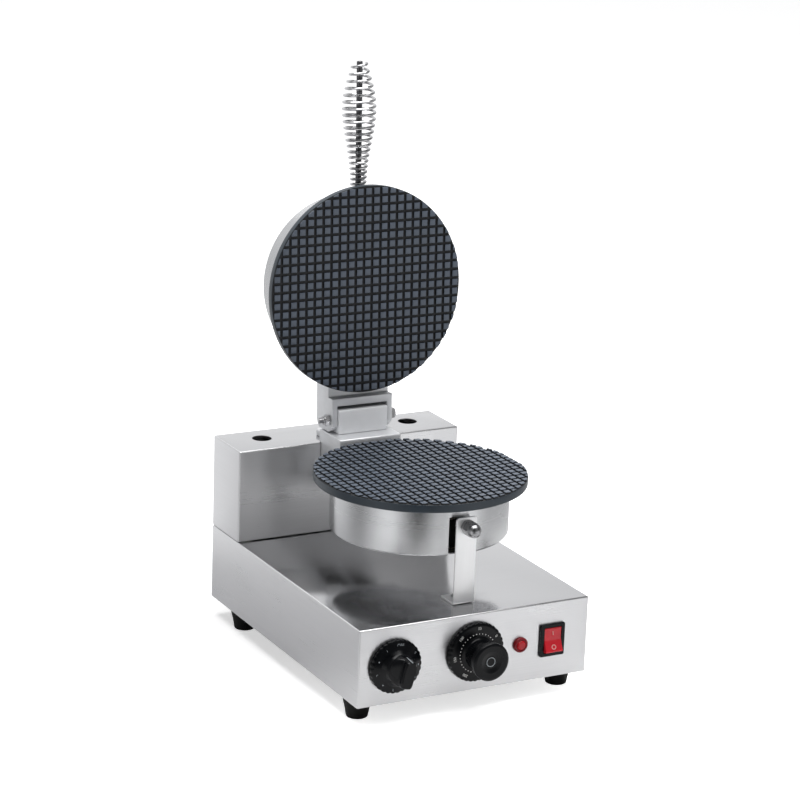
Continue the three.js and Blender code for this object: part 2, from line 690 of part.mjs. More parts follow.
function switchHousing() {
  const { width, height } = SWITCH;
  const frame = block([-width / 2, -2.6, -height / 2], [width / 2, -GAP, height / 2]);
  const body = block(
    [-SWITCH_BODY.width / 2, -1, -SWITCH_BODY.height / 2],
    [SWITCH_BODY.width / 2, SWITCH_BODY.depth, SWITCH_BODY.height / 2],
  );
  const well = block(
    [-ROCKER.width / 2 - 0.4, -5, -ROCKER.height / 2 - 0.6],
    [ROCKER.width / 2 + 0.4, 9, ROCKER.height / 2 + 0.6],
  );
  const { depth } = SWITCH_BODY;
  const terminals = [-8, 0, 8].map((z) => block([-3, depth - 1, z], [3, depth + 8, z + 0.8]));
  return cut(join(frame, body, ...terminals), well);
}

// Rocker drawn level, on its own pivot, with two finger faces that meet in a shallow valley.
function switchRocker() {
  const half = ROCKER.height / 2;
  const proud = 5.2;
  const valley = 2.6;
  return sideProfile([
    [-valley, 0], [-proud, half - 1.2], [-proud + 1, half - 0.4], [1, half - 1],
    [5.5, 3], [5.5, -3], [1, 1 - half], [-proud + 1, 0.4 - half], [-proud, 1.2 - half],
  ], -ROCKER.width / 2, ROCKER.width / 2);
}

place(machine, 'timer_knob', timerKnob(), BLACK_PLASTIC).position.set(...onPanel(TIMER));
place(machine, 'timer_shaft', controlShaft(), BRASS).position.set(...onPanel(TIMER));
place(machine, 'timer_body', controlBody(46, 46, 38), ZINC).position.set(...onPanel(TIMER));
place(machine, 'thermostat_knob', thermostatKnob(), BLACK_PLASTIC)
  .position.set(...onPanel(THERMOSTAT));
place(machine, 'thermostat_shaft', controlShaft(), BRASS).position.set(...onPanel(THERMOSTAT));
place(machine, 'thermostat_body', controlBody(44, 34, 30), PHENOLIC)
  .position.set(...onPanel(THERMOSTAT));
place(lowerSet, 'thermostat_bulb', sensorBulb(), BRASS)
  .position.set(0, 0, heaterZ + HEATER.radius - 3);
place(machine, 'lamp_bezel', lampBezel(), RED_LENS).position.set(...onPanel(LAMP));
place(machine, 'lamp_lens', lampLens(), RED_LENS).position.set(...onPanel(LAMP));
place(machine, 'switch_housing', switchHousing(), BLACK_PLASTIC).position.set(...onPanel(SWITCH));

const rocker = place(machine, 'switch_rocker', switchRocker(), RED_PLASTIC);
rocker.position.set(...onPanel(SWITCH));
rocker.rotation.x = -THREE.MathUtils.degToRad(ROCKER.tilt);

// -------------------------------------------------------------------- mains connection

function cordGland() {
  const { bore } = INLET;
  return turned([
    [bore, -14], [7.8, -14], [7.8, GAP], [11, GAP], [11, 5], [9.5, 7], [8.5, 15], [7, BACK_REACH],
    [bore, BACK_REACH],
  ], 14).rotateX(-Math.PI / 2);
}

function glandNut() {
  const from = -SHEET - GAP - 5;
  return cut(hexBar(22, 'y', from, from + 5, [0, 0]), bar(8.1, 'y', from - 1, from + 6, [0, 0]));
}

function terminalBlock() {
  const body = block([-22, -8, 0], [22, 8, 14]);
  const ways = [-14, 0, 14].map((x) => bar(2.2, 'y', -10, 10, [x, 6], 6));
  const screws = [-14, 0, 14].map((x) => bar(1.8, 'z', 7, 16, [x, 0], 6));
  return cut(body, ...ways, ...screws);
}

const inletAt = [INLET.x, BASE.depth, baseTop + INLET.z];
place(machine, 'cord_gland', cordGland(), BLACK_PLASTIC).position.set(...inletAt);
place(machine, 'gland_nut', glandNut(), BLACK_PLASTIC).position.set(...inletAt);
place(machine, 'terminal_block', terminalBlock(), PHENOLIC)
  .position.set(-70, 290, FOOT_HEIGHT + SHEET + GAP);

export default machine;
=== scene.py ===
import json
import math

import bmesh
import bpy
from mathutils import Matrix, Vector, noise


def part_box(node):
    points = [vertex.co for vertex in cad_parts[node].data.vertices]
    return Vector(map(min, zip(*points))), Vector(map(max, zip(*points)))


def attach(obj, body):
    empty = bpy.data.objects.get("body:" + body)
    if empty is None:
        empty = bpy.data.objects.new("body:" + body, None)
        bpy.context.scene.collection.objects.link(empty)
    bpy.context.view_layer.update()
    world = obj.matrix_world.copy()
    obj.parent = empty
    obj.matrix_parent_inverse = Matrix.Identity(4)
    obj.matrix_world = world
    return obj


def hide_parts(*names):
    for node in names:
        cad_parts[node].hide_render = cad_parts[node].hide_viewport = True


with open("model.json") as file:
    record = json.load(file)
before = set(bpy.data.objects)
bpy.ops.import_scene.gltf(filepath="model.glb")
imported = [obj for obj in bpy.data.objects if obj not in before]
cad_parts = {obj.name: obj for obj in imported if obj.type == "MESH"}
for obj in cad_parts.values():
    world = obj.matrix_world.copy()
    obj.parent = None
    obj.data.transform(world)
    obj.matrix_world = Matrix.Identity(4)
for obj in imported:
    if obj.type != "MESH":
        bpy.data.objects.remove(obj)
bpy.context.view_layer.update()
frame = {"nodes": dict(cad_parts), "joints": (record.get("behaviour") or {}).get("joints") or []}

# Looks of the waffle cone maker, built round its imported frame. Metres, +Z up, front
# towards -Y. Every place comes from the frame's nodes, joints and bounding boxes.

MM = 0.001
TAU = 2 * math.pi
GRAIN = "grain"                   # UV layer in metres: U along the brushing, V across it

# ---- places in the frame

JOINTS = {joint["name"]: joint for joint in frame["joints"]}
PIVOT = Vector(JOINTS["lid_hinge"]["pos_m"])

BASE_LOW, BASE_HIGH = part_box("base_housing")
REAR_LOW, REAR_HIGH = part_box("rear_housing")
PLATE_LOW, PLATE_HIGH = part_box("lower_baking_plate")
DRUM_LOW, DRUM_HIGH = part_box("lower_drum")
PLATE_CENTRE = Vector(((PLATE_LOW.x + PLATE_HIGH.x) / 2, (PLATE_LOW.y + PLATE_HIGH.y) / 2, 0))
PLATE_TOP = PLATE_HIGH.z
PLATE_RADIUS = (PLATE_HIGH.x - PLATE_LOW.x) / 2
DRUM_RADIUS = (DRUM_HIGH.x - DRUM_LOW.x) / 2
DRUM_BOTTOM = DRUM_LOW.z - PLATE_TOP
FACE_GAP = 1.6 * MM               # between the two baking faces when the lid is shut
PLATE_THICKNESS = 10 * MM
SHEET = 1.2 * MM


def middle(node):
    low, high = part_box(node)
    return (low + high) / 2


def moved(x=0, y=0, z=0):
    return Matrix.Translation(Vector((x, y, z)))


def mm(points):
    return [tuple(value * MM for value in point) for point in points]


def about(axis, degrees):
    return Matrix.Rotation(math.radians(degrees), 4, axis)


# The lid is built shut and then opened. Its own frame has its origin on the hinge axis.
OPENED = moved(*PIVOT) @ about("X", -JOINTS["lid_hinge"]["range_deg"][1])
LID_FACE = PLATE_TOP + FACE_GAP - PIVOT.z
LID_PLATE_Y = PLATE_CENTRE.y - PIVOT.y
LOWER_SET = moved(PLATE_CENTRE.x, PLATE_CENTRE.y, PLATE_TOP)
UPPER_SET = OPENED @ moved(0, LID_PLATE_Y, LID_FACE) @ about("X", 180)
OUT_OF_PANEL = about("X", 90)     # turns +Z towards the operator


def on_panel(joint_or_node):
    """Matrix that takes a control drawn along +Z to its place on the front panel."""
    if joint_or_node in JOINTS:
        x, _, z = JOINTS[joint_or_node]["pos_m"]
    else:
        x, _, z = middle(joint_or_node)
    return moved(x, BASE_LOW.y, z) @ OUT_OF_PANEL


# ---- mesh helpers


def polar(radius, angle, *height):
    return (radius * math.cos(angle), radius * math.sin(angle), *height)


def arc(u, v, radius, start, end, steps):
    """Points round (u, v), from one angle to another in degrees."""
    turns = [math.radians(start + (end - start) * k / steps) for k in range(steps + 1)]
    return [(u + du, v + dv) for du, dv in (polar(radius, turn) for turn in turns)]


def rounded(corners, steps):
    """Outline of (u, v, radius) corners, each with a radius turned into an arc."""
    outline = []
    count = len(corners)
    for i, (u, v, radius) in enumerate(corners):
        here = Vector((u, v))
        if radius == 0:
            outline.append(here)
            continue
        before = Vector(corners[i - 1][:2]) - here
        after = Vector(corners[(i + 1) % count][:2]) - here
        half = before.angle(after) / 2
        reach = min(radius / math.tan(half), before.length * 0.49, after.length * 0.49)
        before.normalize()
        after.normalize()
        centre = here + (before + after).normalized() * (reach / math.cos(half))
        start, end = here + before * reach - centre, here + after * reach - centre
        turn = start.angle_signed(end)
        for k in range(steps + 1):
            angle = -turn * k / steps
            outline.append(centre + Matrix.Rotation(angle, 2) @ start)
    return [(p.x, p.y) for p in outline]


def facing_out(bm):
    bmesh.ops.recalc_face_normals(bm, faces=bm.faces)
    return bm


def turned(profile, sides=96, radius_at=None):
    """Solid of revolution about Z. radius_at(angle, row, radius) may vary a radius."""
    bm = bmesh.new()
    uv = bm.loops.layers.uv.new(GRAIN)
    rings, travel = [], [0]
    for row, (radius, height) in enumerate(profile):
        travel.append(travel[-1] + math.dist((radius, height), profile[(row + 1) % len(profile)]))
        angles = [TAU * k / sides for k in range(sides if radius > 1e-7 else 1)]
        radii = [radius_at(angle, row, radius) if radius_at else radius for angle in angles]
        rings.append([bm.verts.new(polar(r, angle, height)) for r, angle in zip(radii, angles)])
    reach = max(radius for radius, _ in profile)
    for i, near in enumerate(rings):
        far = rings[(i + 1) % len(rings)]
        for k in range(sides):
            after = (k + 1) % sides
            corners = [(near[k % len(near)], k, i), (near[after % len(near)], k + 1, i),
                       (far[after % len(far)], k + 1, i + 1), (far[k % len(far)], k, i + 1)]
            if len(near) == 1:
                corners.pop(1)
            if len(far) == 1:
                corners.pop(2)
            if len(corners) > 2:
                face = bm.faces.new([vert for vert, _, _ in corners])
                for loop, (_, column, row) in zip(face.loops, corners):
                    loop[uv].uv = (reach * TAU * column / sides, travel[row])
    return facing_out(bm)


def skinned(bm, rings):
    """Joins rings of vertices with flanks, which it returns, and closes both ends."""
    flanks = []
    for near, far in zip(rings, rings[1:]):
        for k in range(len(near)):
            after = (k + 1) % len(near)
            flanks.append(bm.faces.new([near[k], near[after], far[after], far[k]]))
    bm.faces.new(rings[-1])
    bm.faces.new(list(reversed(rings[0])))
    return flanks


def lathe(corners, steps, sides):
    """Turned solid on corners of (radius, height, rounding) in millimetres."""
    return turned(rounded(mm(corners), steps), sides)


def prism(outline, low, high, axis="Z", bevel=0, segments=3):
    """Straight solid on a closed outline. Along X the outline is (y, z), along Y (x, z)."""
    order = {"X": (2, 0, 1), "Y": (0, 2, 1), "Z": (0, 1, 2)}[axis]
    bm = bmesh.new()
    bottom, top = ([bm.verts.new([(u, v, level)[i] for i in order]) for u, v in outline]
                   for level in (low, high))
    bm.faces.new(bottom)
    bm.faces.new(top)
    for k in range(len(outline)):
        after = (k + 1) % len(outline)
        bm.faces.new([bottom[k], bottom[after], top[after], top[k]])
    facing_out(bm)
    if bevel:
        soften(bm, bevel, segments)
    return bm


def soften(bm, width, segments):
    """Rounds every edge sharper than 30 degrees."""
    sharp = [e for e in bm.edges if e.is_manifold and e.calc_face_angle() > math.radians(30)]
    bmesh.ops.bevel(bm, geom=sharp, offset=width, segments=segments, profile=0.5,
                    affect="EDGES", clamp_overlap=True)


def cuboid(low, high, bevel=0, segments=3):
    outline = [(low[0], low[1]), (high[0], low[1]), (high[0], high[1]), (low[0], high[1])]
    return prism(outline, low[2], high[2], "Z", bevel, segments)


def block(low, high, bevel=0, segments=3):
    """Cuboid whose corners and bevel are in millimetres."""
    return cuboid(*mm([low, high]), bevel * MM, segments)


def rod(radius, low, high, axis="Z", at=(0, 0), sides=48):
    circle = [(at[0] + x, at[1] + y) for x, y in (polar(radius, TAU * k / sides) for k in range(sides))]
    return prism(circle, low, high, axis)


def transformed(bm, matrix):
    bm.transform(matrix)
    return bm


def mesh_of(bm, name="part"):
    mesh = bpy.data.meshes.new(name)
    bm.to_mesh(mesh)
    bm.free()
    for polygon in mesh.polygons:
        polygon.use_smooth = True
    return mesh


def in_scene(name, data):
    obj = bpy.data.objects.new(name, data)
    bpy.context.scene.collection.objects.link(obj)
    return obj


def merged(*parts):
    """Several closed meshes in one, without cutting them."""
    whole = bmesh.new()
    for bm in parts:
        mesh = mesh_of(bm)
        whole.from_mesh(mesh)
        bpy.data.meshes.remove(mesh)
    return whole


def combined(target, tool, operation):
    """Boolean of two closed meshes: 'UNION', 'DIFFERENCE' or 'INTERSECT'."""
    objects = [in_scene("part", mesh_of(bm)) for bm in (target, tool)]
    modifier = objects[0].modifiers.new("boolean", "BOOLEAN")
    modifier.object = objects[1]
    modifier.operation = operation
    modifier.solver = "EXACT"
    bpy.context.view_layer.update()
    result = bpy.data.meshes.new_from_object(
        objects[0].evaluated_get(bpy.context.evaluated_depsgraph_get()))
    out = bmesh.new()
    out.from_mesh(result)
    leftovers = [result] + [obj.data for obj in objects]
    for obj in objects:
        bpy.data.objects.remove(obj)
    for mesh in leftovers:
        bpy.data.meshes.remove(mesh)
    return out


def carved(target, *tools):
    return combined(target, merged(*tools), "DIFFERENCE")


def brushed_along(bm, axis):
    """Grain UVs in metres for flat faces: U runs along an axis, or across it on its ends."""
    uv = bm.loops.layers.uv.get(GRAIN) or bm.loops.layers.uv.new(GRAIN)
    along = "XYZ".index(axis)
    for face in bm.faces:
        normal = [abs(c) for c in face.normal]
        facing = normal.index(max(normal))
        others = [k for k in range(3) if k != facing]
        first = along if along in others else others[0]
        second = [k for k in others if k != first][0]
        for loop in face.loops:
            loop[uv].uv = (loop.vert.co[first], loop.vert.co[second])
    return bm


def tube(points, radius, sides):
    """Round bar along a list of points, with rounded ends."""
    bm = bmesh.new()
    last = len(points) - 1
    tangents = [(points[min(i + 1, last)] - points[max(i - 1, 0)]).normalized()
                for i in range(last + 1)]
    side = tangents[0].orthogonal().normalized()
    rings = []
    for i, (point, along) in enumerate(zip(points, tangents)):
        side = (side - along * side.dot(along)).normalized()
        other = along.cross(side)
        shrink = 0.7 if i in (0, last) else 1
        turns = [polar(1, TAU * k / sides) for k in range(sides)]
        rings.append([bm.verts.new(point + (side * c + other * s) * radius * shrink) for c, s in turns])
    skinned(bm, rings)
    return facing_out(bm)


def piece(name, bm, looks, body, slot, replaces, matrix=None, smooth=34):
    """Object with its finish, riding on its body. Edges over smooth degrees stay sharp."""
    if matrix is not None:
        bm.transform(matrix)
    mesh = mesh_of(bm, name)
    mesh.set_sharp_from_angle(angle=math.radians(smooth))
    for look in looks if isinstance(looks, (list, tuple)) else [looks]:
        mesh.materials.append(look)
    obj = in_scene(name, mesh)
    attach(obj, body)
    if replaces:
        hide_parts(replaces)


# ---- materials


class Graph:
    """The nodes of a material or of the world."""

    def __init__(self, owner):
        owner.use_nodes = True
        self.nodes = owner.node_tree.nodes
        self.links = owner.node_tree.links

    def put(self, socket, value):
        if isinstance(value, bpy.types.NodeSocket):
            self.links.new(value, socket)
        else:
            socket.default_value = value

    def node(self, kind, inputs=None, **settings):
        node = self.nodes.new("ShaderNode" + kind)
        for name, value in settings.items():
            setattr(node, name, value)
        for name, value in (inputs or {}).items():
            self.put(node.inputs[name], value)
        return node

    def maths(self, operation, *values):
        return self.node("Math", dict(enumerate(values)), operation=operation).outputs[0]

    def spread(self, value, low, high, start=0.3, end=0.7):
        """Maps a noise value onto a range."""
        return self.node("MapRange", {
            "Value": value, "From Min": start, "From Max": end, "To Min": low, "To Max": high,
        }).outputs["Result"]

    def colours(self, value, *stops, blend="LINEAR"):
        node = self.node("ValToRGB", {"Fac": value})
        ramp = node.color_ramp
        ramp.interpolation = blend
        while len(ramp.elements) < len(stops):
            ramp.elements.new(0.5)
        for element, (position, colour) in zip(ramp.elements, stops):
            element.position = position
            element.color = (*colour, 1)
        return node.outputs["Color"]


class Look(Graph):
    """A procedural material being built round one Principled BSDF."""

    def __init__(self, name, **constants):
        self.material = bpy.data.materials.new(name)
        super().__init__(self.material)
        for socket, value in constants.items():
            self.put(self.surface(socket.replace("_", " ")), value)

    def surface(self, socket):
        return self.nodes["Principled BSDF"].inputs[socket]

    def places(self, scale=(1, 1, 1), layer=None):
        """Coordinates in metres times a scale, from the object or from a UV layer."""
        if layer:
            source = self.node("UVMap", uv_map=layer).outputs["UV"]
        else:
            source = self.node("TexCoord").outputs["Object"]
        return self.node("Mapping", {"Vector": source, "Scale": scale}).outputs["Vector"]

    def noise(self, scale, detail=3, roughness=0.5, stretch=(1, 1, 1), layer=None):
        return self.node("TexNoise", {
            "Vector": self.places(stretch, layer), "Scale": scale, "Detail": detail,
            "Roughness": roughness,
        }).outputs["Fac"]

    def cells(self, scale):
        return self.node("TexVoronoi", {"Vector": self.places(), "Scale": scale}).outputs["Distance"]

    def mixed(self, value, first, second):
        node = self.node("Mix", {0: value, 6: first, 7: second}, data_type="RGBA")
        return node.outputs[2]

    def drive(self, socket, value):
        self.put(self.surface(socket), value)

    def clouded(self, cloud, dull, bright, end=0.7):
        self.drive("Base Color", self.colours(cloud, (0.3, dull), (end, bright)))

    def bumps(self, height, strength, distance):
        bump = self.node("Bump", {"Height": height, "Strength": strength, "Distance": distance})
        self.drive("Normal", bump.outputs["Normal"])
        return self.material


def shade(colour, factor):
    return tuple(channel * factor for channel in colour)


def steel(name, tone, rough, streak, anisotropy=0.0, grain=0.03, metallic=1.0):
    """Stainless sheet, brushed along the U of its grain layer: highlights stretch along V."""
    look = Look(name, Metallic=metallic, Anisotropic=anisotropy, Anisotropic_Rotation=0.25)
    fine = look.noise(1, 4, 0.6, (9, 1500, 1), GRAIN)
    broad = look.noise(1, 2, 0.5, (2, 60, 1), GRAIN)
    smudge = look.noise(14, 3)
    brushing = look.spread(fine, 0, 1)
    look.drive("Base Color", look.colours(
        brushing, (0, shade(tone, 1 - streak)), (1, shade(tone, 1 + streak))))
    uneven = look.maths("ADD", look.spread(broad, -0.02, 0.02),
                        look.spread(fine, rough - grain, rough + grain))
    look.drive("Roughness", look.maths("ADD", uneven, look.spread(smudge, -0.02, 0.03)))
    if anisotropy:
        tangent = look.node("Tangent", direction_type="UV_MAP", uv_map=GRAIN)
        look.drive("Tangent", tangent.outputs["Tangent"])
    return look.bumps(fine, grain, 0.0001)


def textured(name, dull, bright, rough, patches, grain, bump, **constants):
    """Cloudy colour and roughness over a fine bumpy grain."""
    look = Look(name, **constants)
    cloud = look.noise(patches, 4, 0.6)
    look.clouded(cloud, dull, bright)
    look.drive("Roughness", look.spread(cloud, *rough))
    return look.bumps(look.noise(*grain), bump, 0.0002)


def plain_metal(name, tone, rough, grain=900, bump=0.08, tint=None):
    """Plated, cast or drawn metal."""
    return textured(name, shade(tint or tone, 0.88), tone, (rough - 0.06, rough + 0.07), 45,
                    (grain, 3), bump, Metallic=1.0)


def moulding(name, tone, rough, mottle=0.12, grain=1100, bump=0.1, **constants):
    """Moulded plastic or rubber with handling marks."""
    return textured(name, shade(tone, 1 - mottle), shade(tone, 1 + mottle),
                    (rough - 0.05, rough + 0.08), 60, (grain, 2), bump, **constants)


def cast_metal(name, metallic, dull, bright):
    look = Look(name, Metallic=metallic)
    tone = (0.98, 0.99, 1.01)
    pits = look.cells(700)
    cloud = look.noise(30, 4, 0.6)
    look.clouded(cloud, shade(tone, dull), shade(tone, bright))
    look.drive("Roughness", look.maths(
        "ADD", look.spread(cloud, 0.4, 0.5), look.spread(pits, 0.04, 0, 0, 0.5)))
    return look.bumps(look.maths("ADD", pits, look.noise(260, 3)), 0.1, 0.0003)


def coating(name, tone, rough, worn=0.0):
    """Satin non-stick coating: tiny orange peel, with rubbed spots where it is worn."""
    look = Look(name, Coat_Weight=0.08, Coat_Roughness=0.35, Specular_IOR_Level=0.4)
    peel = look.noise(1400, 2)
    cloud = look.noise(38, 4, 0.6)
    body = look.colours(cloud, (0.3, shade(tone, 0.85)), (0.7, shade(tone, 1.15)))
    if worn:
        speck = look.spread(look.cells(900), worn, 0, 0.02, 0.16)
        body = look.mixed(speck, body, (*shade(tone, 2.2), 1))
    look.drive("Base Color", body)
    look.drive("Roughness", look.spread(cloud, rough - 0.06, rough + 0.07))
    return look.bumps(peel, 0.12, 0.0002)


def mineral_wool():
    look = Look("mineral_wool", Sheen_Weight=0.3)
    fibre = look.noise(260, 6, 0.8, (1, 1, 5))
    look.clouded(fibre, (0.5, 0.44, 0.32), (0.74, 0.68, 0.54), 0.6)
    look.drive("Roughness", look.spread(fibre, 0.85, 1.0))
    return look.bumps(fibre, 0.7, 0.002)


def heater_sheath():
    look = Look("heater_sheath", Metallic=1.0)
    heat = look.noise(22, 3)
    fine = look.noise(800, 3)
    look.drive("Base Color", look.colours(
        heat, (0.3, (0.2, 0.17, 0.15)), (0.55, (0.33, 0.27, 0.2)), (0.75, (0.2, 0.2, 0.27))))
    look.drive("Roughness", look.spread(fine, 0.4, 0.6))
    return look.bumps(fine, 0.1, 0.0002)


def print_ink(name, tone):
    look = Look(name)
    fine = look.noise(1500, 3)
    look.clouded(fine, shade(tone, 0.8), tone, 0.6)
    look.drive("Roughness", look.spread(fine, 0.4, 0.6))
    return look.bumps(fine, 0.05, 0.0001)


BRUSHED = steel("brushed_steel", (0.68, 0.68, 0.69), 0.3, 0.03, 0.85)
POLISHED = steel("smooth_steel", (0.6, 0.6, 0.61), 0.13, 0.03, 0.2)
DRUM_STEEL = steel("drum_steel", (0.6, 0.605, 0.615), 0.26, 0.02, 0.93, 0.008)
# Near-white, part-metallic copy of the brushed steel for the support leg: painted light, so it reads
# bright down to its foot.
LEG_LIGHT_STEEL = steel("leg_painted_light", (0.96, 0.96, 0.965), 0.42, 0.02, 0.6, 0.01, 0.62)
CAST = cast_metal("cast_aluminium", 0.6, 0.71, 0.82)
# Light, almost non-metallic copy of the cast aluminium for the hinge tongue: painted light.
TONGUE_LIGHT_CAST = cast_metal("tongue_painted_light", 0.1, 0.88, 0.97)
# One non-stick coating in three tones: the pad crowns lighter (painted light), the rim darker (painted
# shade) and the grooves near black (painted shade). The rubbed specks on the pads are real wear.
PAD_LIGHT_COAT = coating("pad_painted_light", (0.09, 0.109, 0.141), 0.42, 0.3)
RIM_SHADE_COAT = coating("rim_painted_shade", (0.019, 0.03, 0.042), 0.38)
GROOVE_SHADE_COAT = coating("groove_painted_shade", (0.006, 0.007, 0.009), 0.6)
CHROME = plain_metal("bright_plating", (0.62, 0.62, 0.63), 0.16, 1200, 0.03)
# Near-black copy of the plating for the grip's rod: painted shade inside the spring's coils.
ROD_SHADE_STEEL = plain_metal("rod_painted_shade", (0.12, 0.12, 0.125), 0.3, 1200, 0.05)
# Near-black copy of the cast aluminium: painted shade inside the hollow of the lid's hinge casting.
HOLLOW_SHADE = plain_metal("hollow_painted_shade", (0.1, 0.1, 0.1), 0.5, 500, 0.1)
FASTENER = plain_metal("fastener_steel", (0.58, 0.58, 0.59), 0.28, 900, 0.08)
# Darkened copy of the fastener steel for the leg's nuts: painted shade standing in for dark
# reflections.
NUT_SHADE_STEEL = plain_metal("nuts_painted_shade", (0.34, 0.34, 0.35), 0.24, 900, 0.06)
ZINC = plain_metal("zinc_plate", (0.56, 0.59, 0.62), 0.42, 500, 0.1, (0.6, 0.58, 0.5))
BRASS = plain_metal("brass", (0.72, 0.52, 0.25), 0.3)
HEATER = heater_sheath()
WOOL = mineral_wool()
SCORCHED = moulding("scorched_wrap", (0.006, 0.006, 0.006), 0.8, 0.4, 400, 0.5)
CREAM = moulding("cream_phenolic", (0.68, 0.64, 0.54), 0.45)
BLACK = moulding("black_phenolic", (0.0018, 0.0022, 0.003), 0.2, 0.25, 1300, 0.06,
                 Specular_IOR_Level=0.2)
RUBBER = moulding("black_rubber", (0.005, 0.005, 0.005), 0.55, 0.3, 900, 0.2,
                  Specular_IOR_Level=0.15)
LENS = moulding("red_lens", (0.58, 0.01, 0.02), 0.22, 0.2, 300, 0.05, Transmission_Weight=0.2,
                Specular_IOR_Level=0.35)
LAMP_RING = moulding("dark_red_ring", (0.2, 0.008, 0.013), 0.34, 0.2, Specular_IOR_Level=0.3)
RED = moulding("red_rocker", (0.6, 0.014, 0.026), 0.16, 0.12, 500, 0.03, Subsurface_Weight=0.15,
               Subsurface_Radius=(0.004, 0.0008, 0.0008))
INK = print_ink("white_print", (0.8, 0.8, 0.78))
GREY_INK = print_ink("worn_print", (0.33, 0.36, 0.38))
PINK_INK = print_ink("pink_print", (0.85, 0.4, 0.38))

# ---- casing


def sheet_case(low, high, *holes):
    """Sheet-metal box, open below, with rounded bends and its top one grade smoother."""
    bm = cuboid(low, high)
    bottom = [f for f in bm.faces if f.normal.z < -0.9]
    bmesh.ops.delete(bm, geom=bottom, context="FACES_ONLY")
    bends = [e for e in bm.edges if len(e.link_faces) == 2]
    bmesh.ops.bevel(bm, geom=bends, offset=1.6 * MM, segments=4, profile=0.5, affect="EDGES")
    facing_out(bm)
    if next(f for f in bm.faces if abs(f.normal.z) > 0.99).normal.z < 0:
        bmesh.ops.reverse_faces(bm, faces=bm.faces)
    bmesh.ops.solidify(bm, geom=list(bm.faces), thickness=SHEET)
    bm = carved(facing_out(bm), *holes)
    brushed_along(bm, "X")
    for face in bm.faces:
        face.material_index = 1 if face.normal.z > 0.9 else 0
    return bm


def drill(radius, level, axis, at, sides=32):
    """Cutter for a hole through a sheet at a level. Its radius is in millimetres."""
    reach = 5 * MM
    return rod(radius * MM, level - reach, level + reach, axis, at, sides)


def base_case():
    front, back, top = BASE_LOW.y, BASE_HIGH.y, BASE_HIGH.z
    switch = middle("switch_housing")
    return sheet_case(
        BASE_LOW, BASE_HIGH,
        drill(5, front, "Y", middle("timer_knob").xz),
        drill(5, front, "Y", middle("thermostat_knob").xz),
        drill(6.4, front, "Y", middle("lamp_lens").xz),
        cuboid((switch.x - 11 * MM, front - 5 * MM, switch.z - 14 * MM),
               (switch.x + 11 * MM, front + 5 * MM, switch.z + 14 * MM)),
        drill(8.3, back, "Y", middle("cord_gland").xz, 48),
        drill(2.4, top, "Z", middle("leg_foot_screw").xy),
        drill(12, top, "Z", (0, back - 30 * MM)))


def rear_case():
    vent_y = middle("rear_housing").y + 3.7 * MM
    holes = [(10, (84 * MM, vent_y)), (10, (-84 * MM, vent_y)),
             (2.4, middle("bracket_screw_left").xy), (2.4, middle("bracket_screw_right").xy)]
    return sheet_case(REAR_LOW, REAR_HIGH, *[drill(r, REAR_HIGH.z, "Z", at, 48) for r, at in holes])


def foot():
    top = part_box("foot_front_left")[1].z / MM
    return lathe([
        (2.6, 8, 0), (5.4, 8, 0), (5.4, 0, 0.5), (10.4, 0, 1.4), (12.2, 10, 6), (14, top - 2.5, 1.5),
        (14, top, 0.8), (2.6, top, 0),
    ], 4, 48)


def cross_screw(length):
    """Dome-headed screw along -Z in millimetres, its head's underside at the origin."""
    body = lathe([
        (0, -length, 0), (2, -length, 0.6), (2, 0, 0), (4.5, 0, 0.3), (4.5, 0.7, 1.2),
        (2.79, 2.5, 2), (0, 2.85, 0),
    ], 3, 32)
    cross = [block((-a, -b, 0.9), (a, b, 4)) for a, b in ((2.3, 0.5), (0.5, 2.3))]
    return carved(body, *cross)


def fastened(name, bm, node, matrix, body="base", look=FASTENER):
    piece(name, bm, look, body, "fastener_steel", node, matrix)


piece("base_casing", base_case(), [BRUSHED, POLISHED], "base", "brushed_steel", "base_housing")
piece("rear_casing", rear_case(), [BRUSHED, POLISHED], "base", "brushed_steel", "rear_housing")

for end in ("front", "rear"):
    for side in ("left", "right"):
        at = middle(f"foot_{end}_{side}")
        piece(f"rubber_foot_{end}_{side}", foot(), RUBBER, "base", "rubber",
              f"foot_{end}_{side}", moved(at.x, at.y))
        screw_low, screw_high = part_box(f"foot_screw_{end}_{side}")
        under = screw_low.z + 2.85 * MM
        fastened(f"foot_fixing_{end}_{side}", cross_screw((screw_high.z - under) / MM),
                 f"foot_screw_{end}_{side}", moved(at.x, at.y, under) @ about("X", 180))

# ---- baking plates

PITCH = 9.05 * MM
PAD = 6.45 * MM
GROOVE = 1.9 * MM


def clipped(outline, radius):
    """Part of a small outline inside a circle about the origin."""
    centre = sum((Vector(p) for p in outline), Vector((0, 0))) / len(outline)
    towards = math.atan2(centre.y, centre.x)
    for step in range(-4, 5):
        angle = towards + math.radians(1.6 * step)
        normal = Vector((math.cos(angle), math.sin(angle)))
        kept = []
        for i, point in enumerate(outline):
            after = outline[(i + 1) % len(outline)]
            here, there = normal.dot(Vector(point)) - radius, normal.dot(Vector(after)) - radius
            if here <= 0:
                kept.append(point)
            if here * there < 0:
                share = here / (here - there)
                kept.append(tuple(Vector(point).lerp(Vector(after), share)))
        outline = kept
        if len(outline) < 3:
            return []
    return outline


def area(outline):
    return abs(sum(outline[i - 1][0] * outline[i][1] - outline[i][0] * outline[i - 1][1]
                   for i in range(len(outline)))) / 2


